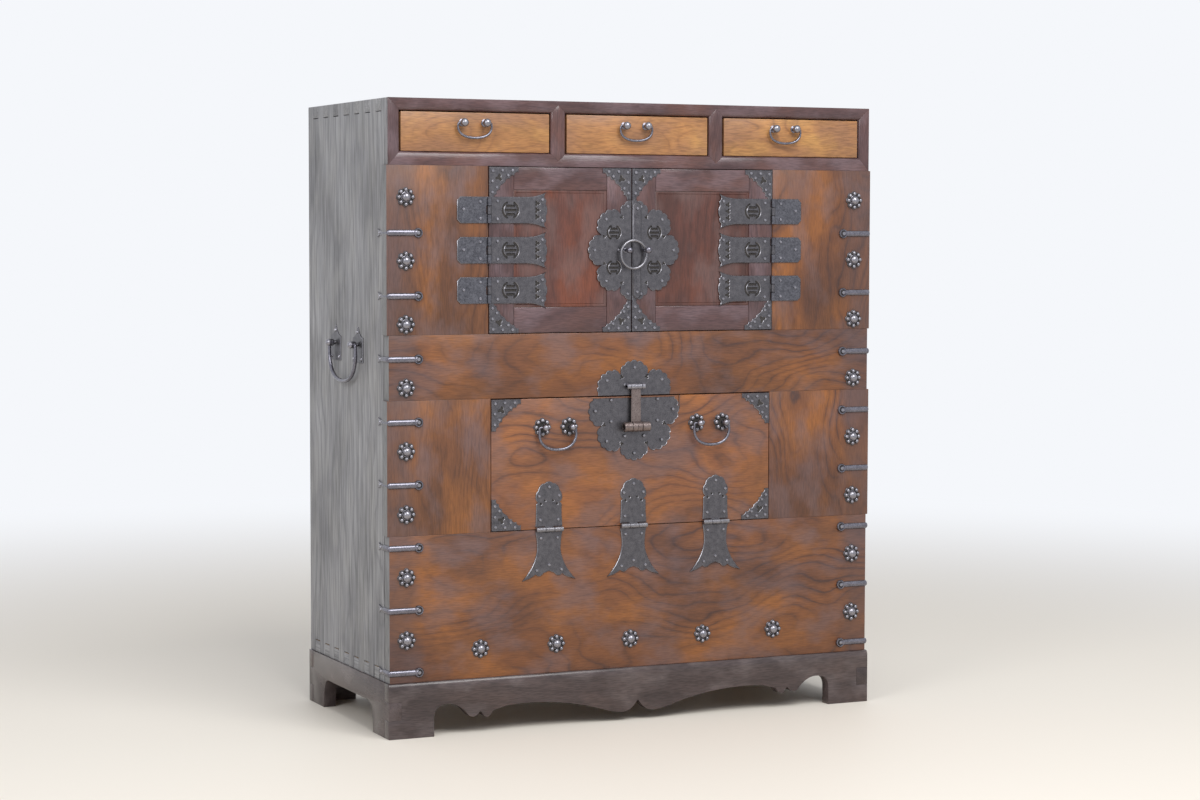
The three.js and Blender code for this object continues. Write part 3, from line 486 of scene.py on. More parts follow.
def scalloped(start: Point, end: Point, count: int, swell: float, steps: int) -> list[Point]:
    """Gives a row of small outward arcs between two points.

    Args:
        start: first point, which is left out.
        end: last point.
        count: how many arcs.
        swell: how far each stands out, to the right of the way from start to end.
        steps: points for each arc.

    Returns:
        The points in order.
    """
    a, b = Vector(start), Vector(end)
    out = Vector((b.y - a.y, a.x - b.x)).normalized()
    points = []
    for i in range(1, count * steps + 1):
        share = i / (count * steps)
        rise = swell * abs(math.sin(math.pi * i / steps)) ** 0.6
        points.append(tuple(a.lerp(b, share) + out * rise))
    return points


def mirrored(points: Iterable[Point]) -> list[Point]:
    """Mirrors points across the upright axis and turns their order round."""
    return [(-x, z) for x, z in reversed(list(points))]


def at(x: float = 0.0, y: float = 0.0, z: float = 0.0) -> Matrix:
    """Gives the matrix of a move."""
    return Matrix.Translation((x, y, z))


# A quarter turn about the upright axis, and the turn that stands a bar along X on its end.
QUARTER = Matrix.Rotation(math.pi / 2, 4, "Z")
UPRIGHT = Matrix.Rotation(-math.pi / 2, 4, "Y")


# Materials


def linear(colour: str) -> tuple[float, ...]:
    """Turns an sRGB hex colour into linear red, green, blue and alpha."""
    levels = [int(colour[i:i + 2], 16) / 255 for i in (0, 2, 4)]
    return (*(c / 12.92 if c <= 0.04045 else ((c + 0.055) / 1.055) ** 2.4 for c in levels), 1.0)


def add_node(tree: bpy.types.NodeTree, kind: str, inputs: Links = None,
             stops: Sequence[tuple[float, Any]] = (), **settings: Any) -> bpy.types.Node:
    """Adds a node with its settings and links.

    Args:
        tree: the material's or world's node tree.
        kind: the node's type without its prefix.
        inputs: a value or another node's output for each input socket.
        stops: places and colours of a colour ramp.
        settings: the node's own properties.

    Returns:
        The node.
    """
    node = tree.nodes.new("ShaderNode" + kind)
    for name, value in settings.items():
        setattr(node, name, value)
    for key, value in (inputs or {}).items():
        if isinstance(value, bpy.types.NodeSocket):
            tree.links.new(value, node.inputs[key])
        else:
            node.inputs[key].default_value = value
    for i, (place, colour) in enumerate(stops):
        ramp = node.color_ramp.elements
        stop = ramp[i] if i < 2 else ramp.new(place)
        stop.position = place
        stop.color = colour if isinstance(colour, tuple) else (colour, colour, colour, 1.0)
    return node


def blank(name: str) -> tuple[bpy.types.Material, bpy.types.NodeTree]:
    """Makes a material with an empty node tree."""
    material = bpy.data.materials.new(name)
    material.use_nodes = True
    material.node_tree.nodes.clear()
    return material, material.node_tree


@dataclass(frozen=True)
class Wood:
    """Sawn and planed wood: growth rings, open pores along the grain, darker patches and a pale bloom that
    is partly a painted sheen.
    """

    name: str
    light: str
    mid: str
    dark: str
    ring_mm: float = 5.0
    wander: float = 12.0
    contrast: float = 0.75
    pore_mm: float = 1.4
    pore_depth: float = 0.2
    patch: float = 0.55
    roughness: float = 0.36
    bump_mm: float = 0.25
    bloom_sheen_tint: str = "6d5858"
    bloom_sheen: float = 0.5
    gold: str = "a8682f"
    gild: float = 0.55
    streak: float = 0.06
    run: float = 65.0
    edge: Optional[str] = None
    edge_mm: float = 400.0

    def on(self, grain: Grain, shift: float = 0.0) -> bpy.types.Material:
        """Makes the wood of one board.

        Args:
            grain: which way the grain runs.
            shift: moves the figure, so that two boards differ, in metres.

        Returns:
            The material.
        """
        name = f"{self.name}_{grain.name.lower()}_{round(shift * 100)}"
        known = bpy.data.materials.get(name)
        if known:
            return known
        material, tree = blank(name)
        space = add_node(tree, "TexCoord").outputs["Object"]
        split = add_node(tree, "SeparateXYZ", {"Vector": space}).outputs
        along, across, through = (split[axis] for axis in grain.value)
        turned_space = add_node(tree, "CombineXYZ", {"X": along, "Y": across, "Z": through}).outputs[0]

        # Noises drawn out along the grain: lumps a metre along it and across it, and their detail.
        scales = {
            "flow": (3.2, 7.5, 1.6), "ripple": (30.0, 60.0, 2.0), "strength": (3.0, 9.0, 2.0),
            "gild": (8.0, 13.0, 5.0), "patch": (5.0, 9.0, 5.0), "bloom_sheen": (13.0, 20.0, 6.0),
            "streak": (0.6 * self.run, 8 * self.run, 2.0),
            "pores": (self.run, 1 / (self.pore_mm * MM), 1.0),
        }
        if self.edge:
            scales["edge"] = (6.0, 12.0, 2.0)
        noise = {}
        for pattern, (lengthwise, crosswise, detail) in scales.items():
            mapped = add_node(tree, "Mapping", {
                "Vector": turned_space, "Location": (shift * 7.3, shift * 3.1, shift * 5.7),
                "Scale": (lengthwise, crosswise, crosswise)}).outputs[0]
            noise[pattern] = add_node(tree, "TexNoise", {
                "Vector": mapped, "Scale": 1.0, "Detail": detail, "Roughness": 0.5}).outputs["Fac"]

        # Rings are the contour lines of a slow noise on top of an even spacing across the board.
        spaced = add_node(tree, "Math", {0: across, 1: 1 / (self.ring_mm * 5 * MM)}, operation="MULTIPLY")
        flowed = add_node(tree, "Math", {0: noise["flow"], 1: self.wander, 2: spaced.outputs[0]},
                          operation="MULTIPLY_ADD")
        rippled = add_node(tree, "Math", {0: noise["ripple"], 1: 0.5, 2: flowed.outputs[0]},
                           operation="MULTIPLY_ADD")
        ring = add_node(tree, "Math", {0: rippled.outputs[0]}, operation="FRACT").outputs[0]
        ring_colour = add_node(tree, "ValToRGB", {"Fac": ring}, stops=[
            (0.0, linear(self.dark)), (1.0, linear(self.dark)), (0.14, linear(self.mid)),
            (0.5, linear(self.light)), (0.86, linear(self.mid))]).outputs[0]
        strength = add_node(tree, "MapRange", {
            "Value": noise["strength"], "From Min": 0.35, "From Max": 0.62,
            "To Min": 0.25 * self.contrast, "To Max": self.contrast}).outputs[0]
        colour = add_node(tree, "MixRGB", {
            "Fac": strength, "Color1": linear(self.mid), "Color2": ring_colour}).outputs[0]

        # Washes over the rings: golden where the wood is rubbed, dark in patches, and a grey bloom that is
        # partly a painted sheen.
        masks = []
        for pattern, low, high, most, tint in (
                ("gild", 0.48, 0.64, self.gild, self.gold),
                ("patch", 0.44, 0.66, self.patch, self.dark),
                ("bloom_sheen", 0.46, 0.63, self.bloom_sheen, self.bloom_sheen_tint)):
            mask = add_node(tree, "ValToRGB", {"Fac": noise[pattern]}, stops=[(low, 0.0), (high, most)])
            masks.append(mask.outputs[0])
            colour = add_node(tree, "MixRGB", {
                "Fac": masks[-1], "Color1": colour, "Color2": linear(tint)}).outputs[0]

        streak = add_node(tree, "MapRange", {
            "Value": noise["streak"], "From Min": 0.3, "From Max": 0.7,
            "To Min": 1 - self.streak, "To Max": 1 + self.streak}).outputs[0]
        colour = add_node(tree, "MixRGB", {
            "Fac": 1.0, "Color1": colour, "Color2": streak}, blend_type="MULTIPLY").outputs[0]

        # The ends of the front boards are grey from the hands that carried the chest.
        if self.edge:
            reach = add_node(tree, "Math", {0: split["X"]}, operation="ABSOLUTE").outputs[0]
            wave = add_node(tree, "Math", {0: noise["edge"], 1: 0.05, 2: reach},
                            operation="MULTIPLY_ADD").outputs[0]
            edge = add_node(tree, "MapRange", {
                "Value": wave, "From Min": (self.edge_mm + 12) * MM, "From Max": (self.edge_mm + 34) * MM,
                "To Min": 0.0, "To Max": 0.5}).outputs[0]
            colour = add_node(tree, "MixRGB", {
                "Fac": edge, "Color1": colour, "Color2": linear(self.edge)}).outputs[0]

        pores = add_node(tree, "ValToRGB", {"Fac": noise["pores"]},
                         stops=[(0.40, 1.0 - self.pore_depth), (0.56, 1.0)]).outputs[0]
        colour = add_node(tree, "MixRGB", {
            "Fac": 1.0, "Color1": colour, "Color2": pores}, blend_type="MULTIPLY").outputs[0]
        polish = add_node(tree, "MapRange", {
            "Value": masks[1], "To Min": self.roughness, "To Max": self.roughness + 0.12}).outputs[0]
        height = add_node(tree, "Math", {0: pores, 1: 0.6, 2: strength}, operation="MULTIPLY_ADD")
        bump = add_node(tree, "Bump", {
            "Height": height.outputs[0], "Strength": 0.6, "Distance": self.bump_mm * MM}).outputs[0]
        shader = add_node(tree, "BsdfPrincipled", {
            "Base Color": colour, "Roughness": polish, "Normal": bump}).outputs[0]
        add_node(tree, "OutputMaterial", {"Surface": shader})
        return material


@dataclass(frozen=True)
class Iron:
    """Forged iron: hammer marks, pits and a dark oxide that wears off on what stands out, where the
    brighter rims are also a painted highlight.
    """

    name: str
    dark: str
    light: str
    hammer_mm: float = 3.0
    bump_mm: float = 0.22
    roughness: float = 0.42
    metallic: float = 0.85

    def make(self) -> bpy.types.Material:
        """Makes the material once and gives it again afterwards."""
        known = bpy.data.materials.get(self.name)
        if known:
            return known
        material, tree = blank(self.name)
        space = add_node(tree, "TexCoord").outputs["Object"]
        marks = add_node(tree, "TexVoronoi", {
            "Vector": space, "Scale": 1 / (self.hammer_mm * MM)}, feature="SMOOTH_F1").outputs["Distance"]
        cloud = add_node(tree, "TexNoise", {
            "Vector": space, "Scale": 1 / (5 * self.hammer_mm * MM), "Detail": 3.0}).outputs["Fac"]
        pits = add_node(tree, "TexNoise", {
            "Vector": space, "Scale": 1 / (self.hammer_mm * MM), "Detail": 3.0,
            "Roughness": 0.6}).outputs["Fac"]
        mixed = add_node(tree, "Math", {0: cloud, 1: 0.5, 2: pits}, operation="MULTIPLY_ADD").outputs[0]
        colour = add_node(tree, "ValToRGB", {"Fac": mixed}, stops=[
            (0.5, linear(self.dark)), (0.95, linear(self.light))]).outputs[0]
        gloss = add_node(tree, "MapRange", {
            "Value": pits, "From Min": 0.3, "From Max": 0.7,
            "To Min": self.roughness - 0.08, "To Max": self.roughness + 0.12}).outputs[0]
        height = add_node(tree, "Math", {0: pits, 1: 0.5, 2: marks}, operation="MULTIPLY_ADD").outputs[0]
        bump = add_node(tree, "Bump", {
            "Height": height, "Strength": 0.7, "Distance": self.bump_mm * MM}).outputs[0]
        shader = add_node(tree, "BsdfPrincipled", {
            "Base Color": colour, "Metallic": self.metallic, "Roughness": gloss, "Normal": bump}).outputs[0]
        add_node(tree, "OutputMaterial", {"Surface": shader})
        return material


# Zelkova front boards, oiled and rubbed: warm brown with flowing rings, a grey bloom that is partly a
# painted sheen, and a soft gloss.
FRONT_WOOD = Wood("zelkova_oiled", "845230", "704428", "412b27", ring_mm=7.0, wander=17.0,
                  contrast=0.9, patch=0.65, gold="9e622b", edge="574341")
# The same wood cut with a straight grain, a little redder.
STRAIGHT_WOOD = Wood("zelkova_straight", "7f5236", "6a4229", "452d26", wander=16.0, ring_mm=3.0,
                     contrast=0.6, edge="574341", patch=0.65, gold="9c612c", bloom_sheen=0.6)
# The board of the fall-front: the lightest of the large boards.
FALL_WOOD = Wood("zelkova_bright", "96603a", "825134", "4f352b", ring_mm=7.0, wander=17.0, contrast=0.9)
# Burl fronts of the drawers: honey brown with a soft cloudy figure.
DRAWER_WOOD = Wood("burl_waxed", "bd8a56", "ab784a", "6f4c36", ring_mm=6.0, wander=26.0, contrast=0.55,
                   patch=0.75, pore_depth=0.25, bloom_sheen_tint="92694e", bloom_sheen=0.7, gold="cf9f5c")
# Frames of stained pear wood: dark mauve brown, tight grain, polished by hands.
FRAME_WOOD = Wood("pear_stained", "6a4e4b", "573f40", "372628", ring_mm=4.0, wander=9.0,
                  contrast=0.4, pore_depth=0.25, roughness=0.19, bloom_sheen_tint="77646a", gold="6b463c")
# Door panels: reddish dark brown with an upright grain.
PANEL_WOOD = Wood("panel_stained", "6c4036", "59342c", "38221f", ring_mm=4.0, wander=9.0,
                  contrast=0.45, roughness=0.32, bloom_sheen_tint="6a5553", gold="7d4229")
# Pine sides gone grey: dry, matt, with furrows along the grain.
SIDE_WOOD = Wood("pine_weathered", "aeaeb1", "9a9a9e", "6c6c70", ring_mm=6.0, wander=6.0, contrast=0.5,
                 pore_mm=2.2, pore_depth=0.35, patch=0.55, roughness=0.62, bump_mm=0.5,
                 bloom_sheen_tint="a3a2a2", bloom_sheen=0.45, gold="8b8a8d", gild=0.3, streak=0.12, run=14.0)
# Base of dark hardwood, worn and polished: brown grey.
BASE_WOOD = Wood("base_hardwood", "5a4c4b", "4a3e3e", "302728", ring_mm=5.0, wander=5.0,
                 contrast=0.4, pore_depth=0.3, roughness=0.2, bloom_sheen_tint="6f6464", gold="5c4b47")
# Bare planed boards inside.
INNER_WOOD = Wood("inner_planed", "b79e7a", "a68b6c", "84694f", ring_mm=8.0, wander=6.0, contrast=0.5,
                  roughness=0.7, bloom_sheen_tint="9a8670", gold="b89b72")
# End grain of the front boards, grey with dust and old oil.
END_WOOD = Wood("end_grain_greyed", "929294", "868688", "69696b", ring_mm=4.0, roughness=0.6,
                bloom_sheen_tint="8a8a8c", gold="7f7f80")

# Sheet iron of plates and leaves: finely pitted and dark with a low shine.
PLATE_IRON = Iron("plate_iron", "434247", "6b696d", hammer_mm=1.5, bump_mm=0.16, roughness=0.36)
# Leaves of the door hinges on the case: bluer and smoother than the plates.
LEAF_IRON = Iron("leaf_iron", "49494f", "6d6d74", hammer_mm=2.5, bump_mm=0.12, roughness=0.24)
# Rims: the same iron a little brighter, partly rubbed and partly a painted highlight.
RIM_WEAR_HIGHLIGHT_IRON = Iron("rim_iron", "737277", "918f94", hammer_mm=1.5, bump_mm=0.05, roughness=0.24)
# Nail heads and balls: rubbed bright.
WORN_IRON = Iron("worn_iron", "74737a", "9d9ba2", hammer_mm=2.0, bump_mm=0.04, roughness=0.2)
# Bars, rings and domes: smooth and bluish, between the two.
BAR_IRON = Iron("bar_iron", "5d5c64", "82808a", hammer_mm=2.5, bump_mm=0.05, roughness=0.2)
# Hasp and tubes: filed iron with a brown film.
HASP_IRON = Iron("hasp_iron", "6a5d5a", "857976", hammer_mm=3.0, bump_mm=0.04, roughness=0.3)
# Dark floors of piercings and recesses: what has gathered there, and painted shade.
GRIME = Iron("grime", "2b2827", "383432", metallic=0.0, roughness=0.8)

IRON_LAYERS = (PLATE_IRON, WORN_IRON, GRIME, RIM_WEAR_HIGHLIGHT_IRON)
BAR_LAYERS = (BAR_IRON, WORN_IRON, GRIME, RIM_WEAR_HIGHLIGHT_IRON)
LEAF_LAYERS = (LEAF_IRON, WORN_IRON, GRIME, RIM_WEAR_HIGHLIGHT_IRON)
HASP_LAYERS = (HASP_IRON, WORN_IRON, GRIME, RIM_WEAR_HIGHLIGHT_IRON)


def piece(name: str, shape: BMesh, body: str, materials: Sequence[bpy.types.Material],
          replaces: Sequence[str] = ()) -> bpy.types.Object:
    """Turns a shape into a piece of the chest that rides on a body.

    Args:
        name: the piece's name.
        shape: its shape in millimetres, which is freed.
        body: the body that it moves with.
        materials: its materials, in the order of its layers.
        replaces: the nodes that it stands for.

    Returns:
        The piece's object.
    """
    bmesh.ops.scale(shape, vec=(MM, MM, MM), verts=shape.verts)
    mesh = bpy.data.meshes.new(name)
    shape.to_mesh(mesh)
    shape.free()
    for material in materials:
        mesh.materials.append(material)
    mesh.polygons.foreach_set("use_smooth", [True] * len(mesh.polygons))
    mesh.set_sharp_from_angle(angle=math.radians(SMOOTH_DEGREES))
    made = bpy.data.objects.new(name, mesh)
    bpy.context.scene.collection.objects.link(made)
    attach(made, body)
    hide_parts(*replaces)
    LOG.info("%s rides on %s", name, body)
    return made


def iron_piece(name: str, shape: BMesh, body: str, replaces: Sequence[str] = (),
               layers: Sequence[Iron] = IRON_LAYERS) -> bpy.types.Object:
    """Makes a piece of iron whose faces use the layers of one set of irons."""
    return piece(name, shape, body, [iron.make() for iron in layers], replaces)


# Small iron parts


def nail(radius: float = 2.9, height: float = 2.0) -> BMesh:
    """Makes a worn round nail head."""
    profile = [(0, -SUNK), (radius, -SUNK), (radius, 0.2 * height), (0.75 * radius, 0.75 * height),
               (0, height)]
    return painted(turned(profile, 8), Layer.WORN)


def nails(target: BMesh, places: Iterable[Point], face: float) -> None:
    """Drives nails into a plate.

    Args:
        target: the plate's shape.
        places: where the nails are, across and up.
        face: how far the plate's face stands out.
    """
    stamp(target, nail(), *(at(x, -face, z) for x, z in places))


def ball(radius: float, steps: int = 12) -> BMesh:
    """Makes a ball around the origin."""
    shape = bmesh.new()
    bmesh.ops.create_uvsphere(shape, u_segments=steps, v_segments=steps // 2, radius=radius)
    return shape


def ring(radius: float, wire: float, steps: int = 48, sides: int = 10) -> BMesh:
    """Makes a ring of round wire in the plane of the front.

    Args:
        radius: from its middle to the middle of the wire.
        wire: radius of the wire.
        steps: how many faces go round the ring.
        sides: how many faces go round the wire.

    Returns:
        The ring around the origin.
    """
    shape = bmesh.new()
    made = bmesh.ops.create_circle(shape, segments=sides, radius=wire)
    bmesh.ops.translate(shape, vec=(radius, 0, 0), verts=made["verts"])
    return spun(shape, (0, 1, 0), steps)


def lock_outline(radius: float, lobes: int = 8, scallops: int = 5, steps: int = 4) -> list[Point]:
    """Gives the outline of a lock plate: round lobes, each edged with small scallops.

    Args:
        radius: reach of the lobes.
        lobes: how many lobes.
        scallops: small arcs on each lobe.
        steps: points for each small arc.

    Returns:
        The points around the origin.
    """
    count = lobes * scallops * steps
    notch_share, scallop_share = 0.2, 0.035
    points = []
    for i in range(count):
        angle = math.tau * i / count
        lobe = abs(math.cos(angle * lobes / 2)) ** 0.55
        small = 1 - abs(math.sin(math.pi * (i / steps + 0.5))) ** 0.7
        points.append(polar(radius * (1 - notch_share * (1 - lobe) - scallop_share * small), angle))
    return points


def fret(centre: Point, radius: float, bar: float) -> list[list[Point]]:
    """Gives the holes of a round fret: three level slots between two curved ones.

    Args:
        centre: its middle, across and up.
        radius: its reach.
        bar: height of a slot.

    Returns:
        The outline of each hole.
    """
    holes = []
    inner, mid = radius * 0.66, radius * 0.8
    opening, steps = 2.3, 8
    for row in (-1, 0, 1):
        rise = row * 2 * bar
        reach = math.sqrt(inner ** 2 - min(abs(rise), 0.8 * inner) ** 2)
        low, high = centre[1] + rise - bar / 2, centre[1] + rise + bar / 2
        left, right = centre[0] - reach, centre[0] + reach
        holes.append([(left, low), (right, low), (right, high), (left, high)])
    for start in (-opening / 2, math.pi - opening / 2):
        angles = [start + opening * i / steps for i in range(steps + 1)]
        holes.append([*(polar(radius, a, centre) for a in angles),
                      *(polar(mid, a, centre) for a in reversed(angles))])
    return holes


def clover(centre: Point, reach: float, turn: float = math.pi / 4) -> list[Point]:
    """Gives the outline of a hole with three round lobes.

    Args:
        centre: its middle, across and up.
        reach: from the middle to the end of a lobe.
        turn: direction of the first lobe.

    Returns:
        The points in order.
    """
    count = 24
    angles = [math.tau * i / count for i in range(count)]
    return [polar(reach * (0.7 + 0.3 * math.cos(3 * (a - turn))), a, centre) for a in angles]


def bracket(leg: float = 52.0, thickness: float = 1.5) -> BMesh:
    """Makes the bracket of a lower left corner: two straight edges and a scalloped one, with nails.

    Args:
        leg: length of its straight edges.
        thickness: how far it stands out.

    Returns:
        The bracket, its corner at the origin.
    """
    tip, middle, notch, swell = 0.16 * leg, 0.51 * leg, 2.0, -0.05 * leg
    edge, far, mid, low = 0.13 * leg, 0.79 * leg, 0.45 * leg, 0.11 * leg
    outline = [(0.0, 0.0), (leg, 0.0), (leg, tip),
               *scalloped((leg, tip), (middle + notch, middle - notch), 3, swell, 6),
               *scalloped((middle - notch, middle + notch), (tip, leg), 3, swell, 6), (0.0, leg)]
    shape = plate(outline, [clover((0.34 * leg, 0.34 * leg), 6.5)], thickness)
    nails(shape, [(mid, low), (low, mid), (0.64 * leg, 0.26 * leg), (0.26 * leg, 0.64 * leg)], thickness)
    corners = ((edge, edge), (far, low), (low, far))
    stamp(shape, nail(3.0, 1.8), *(at(x, -thickness, z) for x, z in corners))
    return shape


def bracket_places(x0: float, x1: float, z0: float, z1: float, y: float) -> list[Matrix]:
    """Gives the places of the four brackets of a flap."""
    return [at(x, y, z) @ Matrix.Diagonal((across, 1, up, 1))
            for x, across in ((x0, 1), (x1, -1)) for z, up in ((z0, 1), (z1, -1))]


def rosette(radius: float = 15.8, domed: bool = True) -> BMesh:
    """Makes a rosette nail: a scalloped base, eight pearls over a dark disc of grime and painted shade, and
    a dome in the middle.

    Args:
        radius: reach of the base.
        domed: whether it has the dome, which one that carries a bail has not.

    Returns:
        The rosette, standing on the plane of the front.
    """
    lobes, base, pearl = 8, 1.8, 3.4 if domed else 3.8
    angles = [math.tau * i / (lobes * 4) for i in range(lobes * 4)]
    outline = [polar(radius * (0.84 + 0.16 * abs(math.cos(a * lobes / 2)) ** 0.7), a) for a in angles]
    shape = painted(plate(outline, [], base), Layer.FACE)
    # The dark disc between the pearls is grime and painted shade.
    grime_shade_disc = [(0, base - SUNK), (radius - 2.4, base - SUNK), (radius - 2.8, base + 0.15), (0, base + 0.2)]
    stamp(shape, painted(turned(grime_shade_disc, 20), Layer.GRIME))
    stamp(shape, painted(ball(pearl, 10), Layer.WORN),
          *(at(x, -base - 0.6, z) for x, z in circle(radius - pearl - 0.8, lobes)))
    if domed:
        foot, width, rise = base + 1.2, 7.6, 7.0
        profile = [(0, base - SUNK), (8.4, base - SUNK), (8.4, base + 0.8), (7.8, base + 1.0)]
        for turn in (math.radians(degrees) for degrees in (18, 36, 54, 72)):
            profile.append((width * math.cos(turn), foot + rise * math.sin(turn)))
        profile.append((0.0, foot + rise))
        stamp(shape, painted(turned(profile, 18), Layer.WORN))
    return shape


@dataclass(frozen=True)
class Bail:
    """A bail that hangs from the eyes of two posts.

    Wire, necks and heads are given by their radius. The standoff is how far the axis stands out,
    and the head's offset is how far the head's middle lies in front of it.
    """

    spacing: float
    drop: float
    wire: float
    bulge: float
    neck: float
    standoff: float
    head: float
    head_offset: float
    bend: float = 3.0
    gap: float = 0.4

    def path(self) -> list[Vector]:
        """Draws the line of its wire in the plane of the front.

        Returns:
            The points from end to end, with the axis through the origin.
        """
        leg = self.spacing / 2 + self.head + self.gap + self.wire
        end = self.spacing / 2 - self.neck
        shoulder = Vector((leg + 2 * self.bulge, 0, -self.drop * 0.72))
        belly = Vector(((leg + self.bulge) * 0.62, 0, -self.drop))
        top = Vector((leg, 0, -self.bend))
        bottom = Vector((0, 0, -self.drop))
        half = interpolate_bezier(bottom, belly, shoulder, top, 16)
        corner = interpolate_bezier(top, Vector((leg, 0, -self.bend / 3)),
                                    Vector((leg - self.bend / 3, 0, 0)),
                                    Vector((leg - self.bend, 0, 0)), 5)
        right = [*half, *corner[1:], Vector((end, 0, 0))]
        left = [Vector((-p.x, p.y, p.z)) for p in reversed(right)]
        return [*left, *right[1:]]

    def shape(self) -> BMesh:
        """Makes the bail: round wire, fullest at the bottom of its bow."""
        path = self.path()
        scales = [self.wire * (0.72 + 0.28 * min(1.0, -p.z / self.drop)) for p in path]
        return swept(circle(1.0, 12), frames_along(path, Vector((0, 1, 0)), scales))

    def post(self) -> BMesh:
        """Makes one post: a stem, an eye around the axis and a round head in front.

        Returns:
            The post, standing on the plane of the front.
        """
        flange, end = self.neck + 2, self.standoff - self.wire
        shape = turned([(0, -SUNK), (flange, -SUNK), (flange, 1.0), (self.neck * 0.7, 2.0),
                        (self.neck * 0.6, end - 0.6), (0, end)], 12)
        eye = ring(self.wire + self.gap + 1.0, 1.2, 20, 8)
        stamp(shape, eye, at(y=-self.standoff) @ QUARTER)
        centre = self.standoff + self.head_offset
        foot = self.standoff + self.wire + self.gap - 0.4
        stamp(shape, turned([(0, foot), (self.neck * 0.75, foot),
                             (self.neck * 0.7, centre - self.head * 0.8), (0, centre)], 12))
        stamp(shape, painted(ball(self.head, 16), Layer.WORN), at(y=-centre))
        return shape

    def post_places(self, place: Matrix) -> list[Matrix]:
        """Gives the places of its two posts around the middle of the bail."""
        return [place @ at(end * self.spacing / 2) for end in (-1, 1)]

    def hung(self, place: Matrix) -> BMesh:
        """Makes the bail where its posts' eyes hold it, in front of the middle between the posts."""
        return joined((self.shape(), [place @ at(y=-self.standoff)]))


# Sub-assemblies

ROW = ("left", "middle", "right")


@dataclass(frozen=True)
class Case:
    """Side, top, bottom and back boards, joined by fingers, and what stays of the frame inside."""

    layout: Layout
    fingers: int = 15
    planks: int = 4
    plank_gap: float = 0.6
    seam: float = 1.2
    edge_seam: float = 3.0

    def toothed(self, start: float, end: float, even: float, odd: float) -> list[Point]:
        """Gives a line of fingers between two places.

        Args:
            start: where the line starts.
            end: where it ends.
            even: level of the first and every other finger.
            odd: level of the fingers between them.

        Returns:
            The corners in order, each as place and level.
        """
        step = (end - start) / self.fingers
        points = []
        for i in range(self.fingers):
            level = odd if i % 2 else even
            points += [(start + i * step, level), (start + (i + 1) * step, level)]
        return points

    def side_outline(self) -> list[Point]:
        """Gives the outline of a side board in depth and height.

        Returns:
            Its corners in order.
        """
        lay = self.layout
        start = lay.board_back + self.edge_seam
        low = self.toothed(start, lay.back, lay.base_top, Box.of("bottom_board").hi.z + self.seam)
        high = self.toothed(lay.facing_back, lay.back, lay.case_top, lay.drawer_top - self.seam)
        return [*low, *reversed(high), (lay.facing_back, lay.door_top), (start, lay.door_top)]

    def flat_outline(self, start: float) -> list[Point]:
        """Gives the outline of the top or bottom board, seen from above.

        Args:
            start: where its front edge lies.

        Returns:
            Its corners in order.
        """
        lay = self.layout
        ends = self.toothed(start, lay.back, lay.inner_half, lay.half_width)
        right = [(x, y) for y, x in ends]
        return [*right, *((-x, y) for x, y in reversed(right))]

    def build(self) -> None:
        """Makes the boards of the case."""
        lay = self.layout
        grey = SIDE_WOOD
        for side in Side:
            start, end = sorted((side.value * lay.inner_half, side.value * lay.half_width))
            piece(f"{side.word}_side_plank", slab(self.side_outline(), Plane.SIDE, start, end), "case",
                  [grey.on(Grain.UP_SIDE, 0.4 * side.value)], [f"{side.word}_side_board"])
        top = slab(self.flat_outline(lay.facing_back), Plane.FLAT, lay.drawer_top, lay.case_top)
        piece("top_plank", top, "case", [grey.on(Grain.ALONG_TOP)], ["top_board"])
        bottom = Box.of("bottom_board")
        shape = slab(self.flat_outline(lay.board_back), Plane.FLAT, bottom.lo.z, bottom.hi.z)
        for item in shape.faces:
            if abs(item.normal.z) < 0.5:
                item.material_index = 1
        piece("bottom_plank", shape, "case",
              [INNER_WOOD.on(Grain.ALONG_TOP), grey.on(Grain.ALONG_SIDE)], ["bottom_board"])
        back = Box.of("back_board")
        step = (back.hi.z - back.lo.z) / self.planks
        plank = board((back.lo.x, back.lo.y, back.lo.z + self.plank_gap / 2),
                      (back.hi.x, back.hi.y, back.lo.z + step - self.plank_gap / 2))
        shape = joined((plank, [at(z=i * step) for i in range(self.planks)]))
        piece("back_planks", shape, "case", [grey.on(Grain.ACROSS_FRONT, 0.9)],
              ["back_board"])
        for name in ("compartment_shelf", "drawer_shelf"):
            box = Box.of(name)
            piece(f"{name}_plank", board(box.lo, box.hi), "case",
                  [INNER_WOOD.on(Grain.ALONG_TOP, box.lo.z * MM)], [name])


